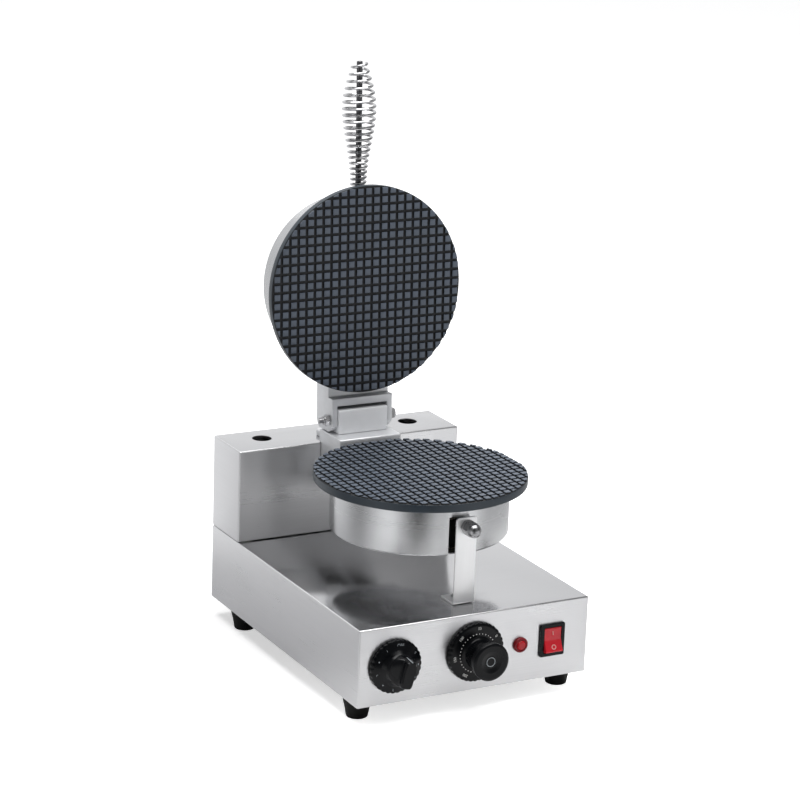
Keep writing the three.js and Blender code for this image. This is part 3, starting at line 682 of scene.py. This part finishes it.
def pads():
    """The grid of square pads, each with drawn sides and a softened crown."""
    bm = bmesh.new()
    reach = int(PLATE_RADIUS / PITCH) + 1
    # height and inset of each ring round a pad, from its foot to its crown
    levels = [(-GROOVE - 0.3 * MM, 0), (-0.55 * MM, 0.3 * MM), (-0.16 * MM, 0.42 * MM), (0, 0.75 * MM)]
    for column in range(-reach, reach + 1):
        for row in range(-reach, reach + 1):
            x, y, half = column * PITCH, row * PITCH, PAD / 2 + 0.15 * MM
            if math.hypot(abs(x) - half, abs(y) - half) > PLATE_RADIUS:
                continue
            square = [(x + a * half, y + b * half) for a, b in ((-1, -1), (1, -1), (1, 1), (-1, 1))]
            outline = clipped(square, PLATE_RADIUS - 0.35 * MM)
            if len(outline) < 3 or area(outline) < 4 * MM * MM:
                continue
            size = math.sqrt(area(outline)) / 2
            centre = sum((Vector(p) for p in outline), Vector((0, 0))) / len(outline)
            rings = [[bm.verts.new((*(centre + (Vector(p) - centre) * (1 - inset / size)), height))
                      for p in outline] for height, inset in levels]
            # Pad sides take the near-black third coat: painted shade down in the grooves.
            for flank in skinned(bm, rings)[:len(outline)]:
                flank.material_index = 2
    return facing_out(bm)


def plate_body():
    under, top, rim = -PLATE_THICKNESS / MM, -GROOVE / MM, PLATE_RADIUS / MM
    bm = lathe([
        (0, under - 4, 0), (84, under - 4, 1), (84, under, 0.5), (rim, under, 1.6), (rim, top, 0.4),
        (0, top, 0),
    ], 5, 160)
    # The groove floor, facing up, takes the near-black third coat (painted shade); the rim and
    # underside take the darker second coat (painted shade).
    for face in bm.faces:
        face.material_index = 2 if face.normal.z > 0.9 else 1
    return bm


def drum_wall():
    top, low, outer = -PLATE_THICKNESS / MM - 0.3, DRUM_BOTTOM / MM, DRUM_RADIUS / MM
    return lathe([
        (outer - 1, top, 0.2), (outer - 1, low + 1, 1.2), (outer - 9, low + 1, 0.3),
        (outer - 9, low, 0.3), (outer, low, 2.2), (outer, top, 0.2),
    ], 4, 160)


def drum_lid():
    """Pressed cover with two shallow stiffening rings, inside the drum's flange."""
    low, rim = DRUM_BOTTOM / MM + 1.3, DRUM_RADIUS / MM - 1.3
    under = mm([(0, low), (22, low), (26, low + 0.7), (30, low), (58, low), (62, low + 0.7),
                (66, low), (rim, low)])
    return turned(under + [(r, h + SHEET) for r, h in reversed(under)], 120)


def element():
    """Tubular heater bent into an open ring."""
    start = math.radians(25)
    height = -PLATE_THICKNESS - 7.9 * MM
    angles = [-math.pi / 2 + start + (TAU - 2 * start) * k / 72 for k in range(73)]
    return tube([Vector(polar(60 * MM, angle, height)) for angle in angles], 3.5 * MM, 14)


def clamp_ring():
    top = -PLATE_THICKNESS / MM - 11.8
    return lathe([(40, top - 2, 0.4), (72, top - 2, 0.4), (72, top, 0.4), (40, top, 0.4)], 2, 72)


def wool_pad():
    low, high = DRUM_BOTTOM + 2.8 * MM, -PLATE_THICKNESS - 14.1 * MM
    rim = DRUM_RADIUS - 9.6 * MM
    bm = turned(rounded([(0, low, 0), (rim, low, 3 * MM), (rim, high, 3 * MM), (0, high, 0)], 4), 96)
    bm.normal_update()
    for face in bm.faces:
        face.material_index = 1 if abs(face.normal.z) < 0.5 else 0
    for vert in bm.verts:
        flat = Vector((vert.co.x, vert.co.y, 0))
        if flat.length > rim * 0.5:
            vert.co += flat.normalized() * noise.noise(vert.co * 90) * 0.6 * MM
    return bm


def slotted_drum():
    """Drum wall open for the leg and its bolt."""
    bolt = middle("leg_bolt")
    leg_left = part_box("support_leg")[0].x
    front = -DRUM_RADIUS
    slot = cuboid((leg_left - 3.7 * MM, front - 5 * MM, DRUM_BOTTOM - 3 * MM),
                  (leg_left + 5.5 * MM, front + 12 * MM, -20.5 * MM))
    return carved(drum_wall(), slot, drill(4.2, front, "Y", (bolt.x, bolt.z - PLATE_TOP)))


def bored_drum():
    return carved(drum_wall(), drill(3.3, DRUM_RADIUS, "Y", (0, -24 * MM)))


for level, body, place, drum in (
    ("lower", "base", LOWER_SET, slotted_drum), ("upper", "lid", UPPER_SET, bored_drum),
):
    for name, bm, look, slot, node, smooth in (
        ("waffle_plate", merged(plate_body(), pads()), [PAD_LIGHT_COAT, RIM_SHADE_COAT, GROOVE_SHADE_COAT],
         "baking_coating", "baking_plate", 40),
        ("drum_shell", drum(), DRUM_STEEL, "brushed_steel", "drum", 34),
        ("pressed_cover", drum_lid(), DRUM_STEEL, "brushed_steel", "drum_cover", 20),
        ("heater", element(), HEATER, "heater_sheath", "heating_element", 34),
        ("clamp_ring", clamp_ring(), ZINC, "zinc_plate", "heater_clamp", 34),
        ("wool_pad", wool_pad(), [WOOL, SCORCHED], "mineral_wool", "insulation_pad", 34),
    ):
        piece(f"{level}_{name}", bm, look, body, slot, f"{level}_{node}", place, smooth)

# ---- support and bolts


def bent_leg():
    low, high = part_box("support_leg")
    sheet = 2 * MM
    side = rounded([
        (low.y, low.z, 3.4 * MM), (high.y, low.z, 0), (high.y, low.z + sheet, 0),
        (low.y + sheet, low.z + sheet, 1.4 * MM), (low.y + sheet, high.z, 0), (low.y, high.z, 0),
    ], 6)
    front = rounded([(low.x, low.z - 1 * MM, 0), (high.x, low.z - 1 * MM, 0),
                     (high.x, high.z, 3 * MM), (low.x, high.z, 3 * MM)], 6)
    bm = combined(prism(side, low.x, high.x, "X"),
                  prism(front, low.y - 1 * MM, high.y + 1 * MM, "Y"), "INTERSECT")
    soften(bm, 0.35 * MM, 2)
    bolt, screw = middle("leg_bolt"), middle("leg_foot_screw")
    bm = carved(bm, rod(4.2 * MM, low.y - 3 * MM, low.y + 5 * MM, "Y", bolt.xz, 32),
                rod(2.4 * MM, low.z - 3 * MM, low.z + 5 * MM, "Z", screw.xy, 24))
    return brushed_along(bm, "Z")


def hexagon(across, low, high, bore=0):
    """Hexagon along Z with its corners turned off at both ends."""
    radius = across / math.sqrt(3)
    flat, drop = across / 2 * 0.97, (radius - across / 2 * 0.97) * 0.6
    cone = turned([(0, low), (flat, low), (radius + 0.01 * MM, low + drop),
                   (radius + 0.01 * MM, high - drop), (flat, high), (0, high)], 48)
    corners = [polar(radius, TAU * k / 6) for k in range(6)]
    bm = combined(prism(corners, low, high), cone, "INTERSECT")
    return carved(bm, rod(bore, low - 1 * MM, high + 1 * MM, sides=32)) if bore else bm


def acorn():
    """Acorn nut along Z: a six-sided collar drawn up into a ball, with its bore open below."""
    collar, radius = 8, 7
    ball = mm(arc(0, collar, radius, -40, 88, 16))
    return merged(hexagon(13 * MM, 0, (collar - 0.6) * MM, 4.2 * MM),
                  turned([(0, ball[0][1]), *ball, (0, (collar + radius) * MM)], 48))


piece("steel_leg", bent_leg(), LEG_LIGHT_STEEL, "base", "brushed_steel", "support_leg")
low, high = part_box("leg_hex_nut")
at = middle("leg_bolt")
fastened("leg_nut", hexagon(13 * MM, 0, high.y - low.y, 4.2 * MM), "leg_hex_nut",
         moved(at.x, high.y, at.z) @ OUT_OF_PANEL, look=NUT_SHADE_STEEL)
piece("leg_acorn_nut", acorn(), NUT_SHADE_STEEL, "base", "bright_chrome", "leg_dome_nut",
      moved(at.x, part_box("leg_dome_nut")[1].y, at.z) @ OUT_OF_PANEL)
screw_at = middle("leg_foot_screw")
screw_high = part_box("leg_foot_screw")[1]
fastened("leg_base_screw", cross_screw(8), "leg_foot_screw",
         moved(screw_at.x, screw_at.y, screw_high.z - 2.9 * MM))

# ---- hinge


def lower_casting():
    """Deck over the rear casing with a narrow tail, and a ribbed apron down to the drum."""
    low, high = (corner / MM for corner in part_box("hinge_bracket"))
    half, wall = high.x, 5
    drum_back = (PLATE_CENTRE.y + DRUM_RADIUS) / MM - 8
    front, deck_back = high.y - 72.5, high.y - 26
    case_front, base_top, deck = REAR_LOW.y / MM, BASE_HIGH.z / MM, REAR_HIGH.z / MM + 0.3
    under_plate = PLATE_LOW.z / MM + 1
    side = [
        (drum_back, under_plate, 0), (front, under_plate, 1.5), (front, high.z, 2),
        (deck_back, high.z, 3), (deck_back, deck, 0), (case_front - 1, deck, 1),
        (case_front - 1, base_top + 72, 4), (front + 8, low.z, 6), (drum_back, low.z, 0),
    ]
    tail = [(-27, deck_back - 3, 0), (27, deck_back - 3, 0), (27, high.y, 5), (-27, high.y, 5)]
    body = combined(prism(rounded(mm(side), 5), -half * MM, half * MM, "X", 0.8 * MM, 3),
                    prism(rounded(mm(tail), 5), deck * MM, (deck + 6) * MM, "Z", 0.8 * MM, 3), "UNION")
    pockets = [block((left, front + wall, low.z - 1), (right, case_front + 2, high.z - wall))
               for left, right in ((wall - half, -wall / 2), (wall / 2, half - wall))]
    seat = rod(DRUM_RADIUS + 0.3 * MM, BASE_HIGH.z, BASE_HIGH.z + 120 * MM, "Z",
               PLATE_CENTRE.xy, 160)
    return carved(body, *pockets, seat)


def tongue():
    low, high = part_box("hinge_tongue")
    side = rounded([(low.y, low.z, 1 * MM), (high.y, low.z, 1 * MM), (high.y, high.z, 6 * MM),
                    (low.y, high.z, 2 * MM)], 6)
    body = prism(side, low.x, high.x, "X", 0.7 * MM, 3)
    return carved(body, rod(3.4 * MM, low.x - 2 * MM, high.x + 2 * MM, "X", (PIVOT.y, PIVOT.z)))


CLEVIS_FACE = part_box("hinge_arm")[1].x


def lid_casting():
    """Two legs astride the tongue, a web and back wall between them, a saddle on the drum."""
    outer = CLEVIS_FACE / MM
    inner = outer - 6
    rear = (LID_PLATE_Y + DRUM_RADIUS) / MM
    low, high, step = -7.5, 28.5, 2
    near, far = -14.5, -22.5
    cheek = mm([(far + 1, low), (6, low), *arc(5, 3.2, 8, -60, 0, 8), (12.8, 8),
                *arc(3, 18.5, 10, 0, 90, 10), (rear - 12, high), (rear - 12, step), (far + 1, step)])
    body, *others = (
        prism(cheek, -outer * MM, -inner * MM, "X"),
        prism(cheek, inner * MM, outer * MM, "X"),
        block((-outer, far, low), (outer, near, high)),
        block((-outer, far + 1, high - 4), (outer, 3, high)),
        block((-outer, rear - 12, step), (outer, far + 1, step + 5)),
        block((-outer, rear - 12, step), (outer, rear + 7, 38)),
    )
    for other in others:
        body = combined(body, other, "UNION")
    bmesh.ops.dissolve_limit(body, angle_limit=math.radians(1), verts=body.verts, edges=body.edges)
    soften(body, 0.7 * MM, 3)
    seat = rod(DRUM_RADIUS + 0.3 * MM, -60 * MM, 90 * MM, "Z", (0, LID_PLATE_Y), 160)
    body = carved(body, seat, rod(3.4 * MM, -60 * MM, 60 * MM, "X"))
    body.normal_update()
    # Faces inside the hollow behind the web take the near-black second look: painted shade.
    for face in body.faces:
        x, y, z = face.calc_center_median() / MM
        in_painted_shade = abs(x) < inner - 1 and y > near - 0.5 and low + 1 < z < high - 3.5
        face.material_index = 1 if in_painted_shade else 0
    return body


piece("lower_hinge_casting", lower_casting(), CAST, "base", "cast_aluminium", "hinge_bracket")
piece("hinge_tongue_block", tongue(), TONGUE_LIGHT_CAST, "base", "cast_aluminium", "hinge_tongue")
piece("lid_hinge_casting", lid_casting(), [CAST, HOLLOW_SHADE], "lid", "cast_aluminium", "hinge_arm", OPENED)


def pivot_bolt():
    """Bolt along +X: a flanged head on the right and a chamfered end on the left."""
    low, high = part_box("pivot_bolt")
    face, end = CLEVIS_FACE / MM + 0.3, low.x / MM + 0.01
    shank = lathe([(0, face + 1, 0), (3, face + 1, 0), (3, end, 0.8), (0, end, 0)], 2, 32)
    flange = lathe([
        (0, face, 0), (5.6, face, 0.3), (5.6, face + 1, 0.4), (4.6, face + 1.6, 0.4),
        (0, face + 1.6, 0)], 3, 48)
    return merged(shank, flange, hexagon(10 * MM, (face + 1) * MM, high.x))


def pivot_nut():
    """Lock nut with its washer face inwards and a rounded crown round the bolt."""
    low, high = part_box("pivot_nut")
    length = (high.x - low.x) / MM
    crown = lathe([(3.3, length - 2.4, 0), (4.7, length - 2.4, 0), (4.5, length, 1),
                   (3.3, length, 0.3)], 3, 48)
    return merged(hexagon(10 * MM, 0, (length - 1.6) * MM, 3.3 * MM), crown)


fastened("pivot_bolt_head", pivot_bolt(), "pivot_bolt", OPENED @ about("Y", 90), "lid")
fastened("pivot_lock_nut", pivot_nut(), "pivot_nut",
         OPENED @ moved(-CLEVIS_FACE - 0.3 * MM) @ about("Y", -90), "lid")

for side, sign in (("left", -1), ("right", 1)):
    at = middle(f"bracket_screw_{side}")
    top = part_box(f"bracket_screw_{side}")[1].z
    fastened(f"deck_screw_{side}", cross_screw(15), f"bracket_screw_{side}",
             moved(at.x, at.y, top - 2.9 * MM))
    seat = moved(sign * 16 * MM, LID_PLATE_Y + DRUM_RADIUS + 7.3 * MM, LID_FACE + 34 * MM)
    fastened(f"saddle_screw_{side}", cross_screw(11), f"arm_screw_{side}",
             OPENED @ seat @ about("X", -90), "lid")

# ---- handle

HANDLE = OPENED @ moved(0, LID_PLATE_Y, LID_FACE + 24 * MM) @ about("X", 90)
SPRING_START, SPRING_END, SPRING_TURNS = 96 * MM, 224 * MM, 21


def barrel_spring():
    """Coil grip: close coils at both ends of a barrel that is fullest past its middle."""
    steps = 40 * SPRING_TURNS
    points = []
    for k in range(steps + 1):
        t = k / steps
        angle = TAU * SPRING_TURNS * t
        swell = math.sin(math.pi * t ** 1.85) ** 1.3 if 0 < t < 1 else 0
        radius = 7 * MM + 9 * MM * swell
        height = SPRING_START + (SPRING_END - SPRING_START) * t * (0.8 + 0.2 * t)
        points.append(Vector(polar(radius, angle, height)))
    return tube(points, 1.4 * MM, 10)


# The rod inside the spring takes the near-black copy of the plating: painted shade.
piece("grip_rod", lathe([(0, 80, 0), (3, 80, 0), (3, 226, 1.2), (0, 226, 0)], 5, 48), ROD_SHADE_STEEL,
      "lid", "bright_chrome", "handle_rod", HANDLE)
piece("grip_spring", barrel_spring(), CHROME, "lid", "bright_chrome", "handle_spring_grip", HANDLE)
for end, start in (("outer", DRUM_RADIUS + 0.6 * MM), ("inner", DRUM_RADIUS - 6.7 * MM)):
    fastened(f"grip_{end}_nut", hexagon(10 * MM, start, start + 5 * MM, 3.3 * MM),
             f"handle_{end}_nut", HANDLE, "lid")

# ---- controls


def scalloped(depth, count, rows):
    """Radius rule that flutes the given rows of a knob's skirt."""
    def radius_at(angle, row, radius):
        if row not in rows:
            return radius
        return radius - depth * (0.5 - 0.5 * math.cos(count * angle)) ** 2
    return radius_at


def figure(text, size, radius, height, degrees):
    """Raised numeral on a dial, standing outwards, its centre at an angle from the top."""
    curve = bpy.data.curves.new("figure", "FONT")
    curve.body = text
    curve.size = size
    curve.align_x = "CENTER"
    curve.align_y = "CENTER"
    curve.extrude = 0.06 * MM
    curve.resolution_u = 3
    obj = in_scene("figure", curve)
    bpy.context.view_layer.update()
    mesh = bpy.data.meshes.new_from_object(obj.evaluated_get(bpy.context.evaluated_depsgraph_get()))
    bm = bmesh.new()
    bm.from_mesh(mesh)
    bpy.data.objects.remove(obj)
    bpy.data.curves.remove(curve)
    bpy.data.meshes.remove(mesh)
    return transformed(bm, about("Z", degrees) @ moved(0, radius, height))


def dial_dot(radius, height, degrees, size):
    dot = turned([(0, 0), (size, 0), (size * 0.8, 0.1 * MM), (0, 0.12 * MM)], 12)
    return transformed(dot, about("Z", degrees) @ moved(0, radius, height))


TIMER_SKIRT = rounded(mm([
    (3.4, 1, 0), (26.4, 1, 0.5), (27, 2.4, 0.6), (26.8, 5, 1), (24.6, 6.3, 1), (18.5, 9.4, 4),
    (15, 13, 3), (14, 17, 1), (3.4, 17, 0),
]), 4)
WING_ANGLE = -13


def timer_grip():
    """Hub that draws in on both flanks to a tall upright wing."""
    bm = bmesh.new()
    rings = []
    rows, sides = 14, 64
    for row in range(rows + 1):
        t = row / rows
        height = (12 + 20 * t) * MM
        ease = t * t * (3 - 2 * t)
        across = (14.6 - 8.6 * min(1, ease * 1.5)) * MM
        along = (14.6 - 1.4 * ease) * MM
        power = 2 + 3 * ease
        if row == rows:
            across, along = across - 0.8 * MM, along - 0.8 * MM
        rings.append([])
        for k in range(sides):
            c, s = polar(1, TAU * k / sides)
            reach = (abs(c) ** power + abs(s) ** power) ** (-1 / power)
            rings[-1].append(bm.verts.new((across * c * reach, along * s * reach, height)))
    skinned(bm, rings)
    return transformed(facing_out(bm), about("Z", WING_ANGLE))


def wing_line():
    """White line down the wing's upper end."""
    outline = mm([(11, 19), (14.25, 19), (13.4, 31.2), (11, 31.2)])
    return transformed(prism(outline, -0.6 * MM, 0.6 * MM, "X"), about("Z", WING_ANGLE))


THERMOSTAT_PROFILE = rounded(mm([
    (3.4, 1, 0), (29.4, 1, 0.5), (30, 2.4, 0.6), (29.6, 5, 1), (27, 6.2, 1.5), (17, 7.4, 1),
    (14.6, 9.5, 2), (15, 18, 8), (18.4, 26, 6), (19, 33.6, 1.6), (16.5, 34.5, 1), (11, 34, 3),
    (6.5, 32.4, 4), (0, 32.1, 0),
]), 5)
TIMER = on_panel("timer_turn")
THERMOSTAT = on_panel("thermostat_turn")


def on_timer(name, bm, look, replaces=None):
    piece(name, bm, look, "timer_dial", "black_plastic", replaces, TIMER)


def on_thermostat(name, bm, look, replaces=None):
    piece(name, bm, look, "thermostat_dial", "black_plastic", replaces, THERMOSTAT)


def dial(profile, edge, flutes):
    """Turned knob whose rows outside a radius are fluted."""
    rows = [row for row, (radius, _) in enumerate(profile) if radius > edge]
    return turned(profile, 240, scalloped(0.7 * MM, flutes, rows))


on_timer("timer_dial", dial(TIMER_SKIRT, 26 * MM, 30), BLACK, "timer_knob")
on_timer("timer_wing", timer_grip(), BLACK)
on_timer("timer_wing_line", wing_line(), GREY_INK)
on_thermostat("thermostat_dial", dial([(0, 1 * MM)] + THERMOSTAT_PROFILE, 29 * MM, 36), BLACK,
              "thermostat_knob")

MINUTE_STEP, MINUTE_START = 68, 33      # degrees on the timer's dial
timer_print = [figure("OFF", 4.2 * MM, 22.2 * MM, 7.75 * MM, -6)]
timer_print += [figure(str(n + 1), 4.2 * MM, 21.5 * MM, 8.1 * MM, MINUTE_START + MINUTE_STEP * n)
                for n in range(5)]
timer_print += [dial_dot(21.5 * MM, 8.0 * MM, MINUTE_START + MINUTE_STEP * (n + 0.5), 0.8 * MM)
                for n in range(4)]
on_timer("timer_print", merged(*timer_print), GREY_INK)

HEAT_STEP, HEAT_START = 50.8, -54       # degrees on the thermostat's dial
thermostat_print = [figure(str(50 * n), 3.9 * MM, 24.4 * MM, 6.6 * MM, HEAT_START + HEAT_STEP * n)
                    for n in range(7)]
thermostat_print += [dial_dot(19.2 * MM, 7.1 * MM, HEAT_START + HEAT_STEP * n / 5, 0.62 * MM)
                     for n in range(31)]
on_thermostat("thermostat_print", merged(*thermostat_print), INK)

on_thermostat("thermostat_cap_ring", lathe([
    (4, 32, 0), (4.8, 32, 0), (4.8, 32.6, 0.2), (4, 32.6, 0.2)], 2, 48), GREY_INK)

# ---- lamp, switch and fittings


def lamp_lens():
    """Domed lens with fine ribs round it."""
    profile = rounded(mm([
        (0, -3.6, 0), (4.9, -3.6, 0), (4.9, 2.8, 0.3), (3.9, 4.1, 1.5), (0, 4.5, 0)]), 5)
    ribbed = [row for row, (_, height) in enumerate(profile) if height > 2 * MM]
    return turned(profile, 96, scalloped(0.2 * MM, 16, ribbed))


def switch_case():
    """Bezel of the rocker switch and the can behind it, with a well for the rocker."""
    low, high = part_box("switch_housing")
    half_x, half_y = (high.x - low.x) / 2, (high.z - low.z) / 2
    corners = [(x * half_x, y * half_y, 1.6 * MM) for x, y in ((-1, -1), (1, -1), (1, 1), (-1, 1))]
    bezel = prism(rounded(corners, 5), 0.3 * MM, 2.8 * MM, "Z", 0.7 * MM, 4)
    can = block((-10.7, -13.7, -22), (10.7, 13.7, 1), 0.8, 2)
    well = block((-9.7, -13.1, -9), (9.7, 13.1, 5))
    tabs = [block((-3, z, -30), (3, z + 0.8, -21), 0.2, 1) for z in (-8, 0, 8)]
    return merged(carved(combined(bezel, can, "UNION"), well), *tabs)


def rocker_cap():
    """Rocker drawn level, with two finger faces that meet in a shallow valley."""
    half, proud, valley = 12.5, 5.1, 2.7
    face = [
        (-half, -1, 0), (0.1 - half, proud - 0.9, 0.5), (1.1 - half, proud, 0.7),
        (-half * 0.45, valley + 1, 14), (0, valley, 9), (half * 0.45, valley + 1, 14),
        (half - 1.1, proud, 0.7), (half - 0.1, proud - 0.9, 0.5), (half, -1, 0), (3, -5.5, 1),
        (-3, -5.5, 1),
    ]
    return prism(rounded(mm(face), 6), -9.3 * MM, 9.3 * MM, "X", 0.45 * MM, 3)


def rocker_signs():
    """The bar of 'on' and the ring of 'off', standing just proud of the rocker."""
    bar = block((-0.45, 4.6, 3.6), (0.45, 8.6, 4.35), 0.08, 1)
    ring = lathe([(1.7, -1, 0), (2.5, -1, 0), (2.5, 0, 0.1), (1.7, 0, 0.1)], 2, 40)
    slope = math.degrees(math.atan2(1.4, 5.8))
    return merged(bar, transformed(ring, moved(0, -7.2 * MM, 4.45 * MM) @ about("X", -slope)))


LAMP = on_panel("lamp_lens")
SWITCH = on_panel("switch_housing")
ROCKER = on_panel("power_rock") @ about("X", -12)
piece("lamp_bezel_ring", lathe([
    (5.1, -3, 0), (6, -3, 0), (6, 0.3, 0), (7.6, 0.3, 0), (7.6, 2.4, 1.2), (6.3, 3.4, 0.8),
    (5.1, 3, 0.3),
], 4, 64), LAMP_RING, "base", "lamp_ring", "lamp_bezel", LAMP)
piece("lamp_red_lens", lamp_lens(), LENS, "base", "lamp_red", "lamp_lens", LAMP)
piece("switch_case", switch_case(), BLACK, "base", "black_plastic", "switch_housing", SWITCH)
piece("rocker_cap", rocker_cap(), RED, "power_rocker", "red_plastic", "switch_rocker", ROCKER)
piece("rocker_signs", rocker_signs(), PINK_INK, "power_rocker", "red_plastic", None, ROCKER)


def terminals():
    """Three-way terminal strip with its wire entries and screw wells."""
    low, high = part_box("terminal_block")
    body = cuboid(low, high, 0.8 * MM, 2)
    centre = (low + high) / 2
    cutters = []
    for x in (-14, 0, 14):
        at = centre.x + x * MM
        cutters.append(rod(2.2 * MM, low.y - 2 * MM, high.y + 2 * MM, "Y", (at, low.z + 6 * MM), 24))
        cutters.append(rod(2.6 * MM, low.z + 9 * MM, high.z + 2 * MM, "Z", (at, centre.y), 24))
    return carved(body, *cutters)


inlet = middle("cord_gland")
# A flange, a collar and a ribbed nose, which the cord goes through.
piece("mains_gland", lathe([
    (4, -14, 0.3), (7.8, -14, 0.4), (7.8, 0.3, 0), (11, 0.3, 0.3), (11, 5, 1), (9.6, 7, 0.8),
    (9, 9, 0.5), (9, 10, 0.3), (8.4, 10.6, 0.3), (8.9, 11.4, 0.3), (8.7, 12.4, 0.3), (8.1, 13, 0.3),
    (8.4, 13.8, 0.3), (8.2, 14.8, 0.3), (7.4, 15.6, 0.3), (7, 18.3, 0.8), (4, 18.3, 0.8),
], 3, 96), BLACK, "base", "black_plastic", "cord_gland",
      moved(inlet.x, BASE_HIGH.y, inlet.z) @ about("X", -90))
piece("terminal_strip", terminals(), CREAM, "base", "white_insulator", "terminal_block")

# The frame's own solids that stay in the picture, with the looks they get.
KEPT = (
    (ZINC, "bottom_plate rear_tie_strip_left rear_tie_strip_right timer_body"),
    (FASTENER, "leg_bolt leg_spacer drum_screw_left drum_screw_right"),
    (BRASS, "thermostat_bulb timer_shaft thermostat_shaft"),
    (CREAM, "thermostat_body"),
    (BLACK, "gland_nut"),
)
for look, names in KEPT:
    for name in names.split():
        frame["nodes"][name].material_slots[0].material = look

# ---- stage and camera


def overhead_light():
    light = bpy.data.lights.new("overhead", "AREA")
    light.size = 2.4
    light.energy = 88
    place, target = Vector((0.1, 0, 2.5)), Vector((0, 0, 0.1))
    obj = in_scene("overhead", light)
    obj.location = place
    obj.rotation_euler = (target - place).to_track_quat("-Z", "Y").to_euler()


# The room round the table: level of light by bearing, in degrees anticlockwise from +X. It is
# bright behind the machine, at its left and at its front right, and dark at the camera.
ROOM = ((28, 0.6), (62, 0.97), (102, 1.0), (122, 0.9), (160, 0.4), (203, 1.3), (241, 0.08),
        (268, 0.8), (300, 1.3), (344, 0.6))
TABLE_RADIUS = 0.45
FLOOR_GLOW = 0.56


def floor_look(name, glow, painted_shadow):
    """Pale matt floor; the table has a painted shadow at the machine's back-left, where the machine
    stands in its own light.
    """
    look = Look(name)
    cloud = look.noise(1.5, 3)
    pale = look.colours(cloud, (0.3, (0.9, 0.9, 0.9)), (0.7, (0.93, 0.93, 0.93)))
    if painted_shadow:
        # Painted shadow: a dark grey patch mixed into the table's colour at the machine's back-left.
        away = look.node("VectorMath", {0: look.places(), 1: (-0.24, 0.18, 0)},
                         operation="DISTANCE").outputs["Value"]
        pale = look.mixed(look.spread(away, 0.8, 0, 0.17, 0.34), pale, (0.25, 0.25, 0.26, 1))
    look.drive("Base Color", pale)
    look.drive("Roughness", look.spread(cloud, 0.7, 0.8))
    look.drive("Emission Color", (1, 1, 1, 1))
    look.drive("Emission Strength", glow)
    return look.material


def floor_piece(name, profile, glow, painted_shadow=False):
    """Turned piece of the stage, two centimetres thick."""
    under = [(radius * 1.01, height - 0.02) for radius, height in reversed(profile)]
    mesh = mesh_of(turned(profile + under), name)
    mesh.materials.append(floor_look(name, glow, painted_shadow))
    obj = in_scene(name, mesh)
    return obj


def studio_world():
    """Room light that depends on bearing, and is dimmer high up on the operator's side."""
    world = bpy.data.worlds.new("studio")
    room = Graph(world)
    direction = room.node("TexCoord").outputs["Generated"]
    parts = room.node("SeparateXYZ", {0: direction}).outputs
    turns = room.maths("DIVIDE", room.maths("ARCTAN2", parts["Y"], parts["X"]), TAU)
    levels = [(degrees / 360, (level, level, level)) for degrees, level in ROOM]
    light = room.colours(room.maths("FRACT", turns), *levels, blend="EASE")
    behind = room.spread(parts["Y"], 0.2, 1, -0.1, 0.6)
    low = room.spread(parts["Z"], 0, 1, 0.22, -0.02)
    background = room.nodes["Background"].inputs
    room.put(background["Strength"], room.maths("MULTIPLY", light, room.maths("MAXIMUM", behind, low)))
    room.put(background["Color"], (0.985, 0.99, 1, 1))
    return world


def studio():
    """A pale table that lights the machine, in a wide curving floor that only the camera sees."""
    # The table carries the painted shadow.
    table = floor_piece("table", [(0, 0), (TABLE_RADIUS, 0)], 0, True)
    table.visible_camera = False
    table.visible_shadow = False
    under = -0.0002
    floor = floor_piece("floor", rounded([(0, under, 0), (12, under, 6), (13, 9, 0)], 24), FLOOR_GLOW)
    floor.visible_diffuse = False
    floor.visible_glossy = False
    floor.visible_shadow = False
    bpy.context.scene.world = studio_world()
    bpy.context.scene.view_settings.view_transform = "Standard"


def camera():
    """The photo's camera, fitted to it."""
    azimuth, elevation, roll = -28.41, 16.1, 2.055
    data = bpy.data.cameras.new("camera")
    data.lens = 125.47
    data.sensor_width = 36
    obj = in_scene("camera", data)
    obj.matrix_world = (moved(-1.25467, -2.31005, 1.02394) @ about("Z", azimuth)
                        @ about("X", 90 - elevation) @ about("Z", roll))
    bpy.context.scene.camera = obj


studio()
camera()
overhead_light()
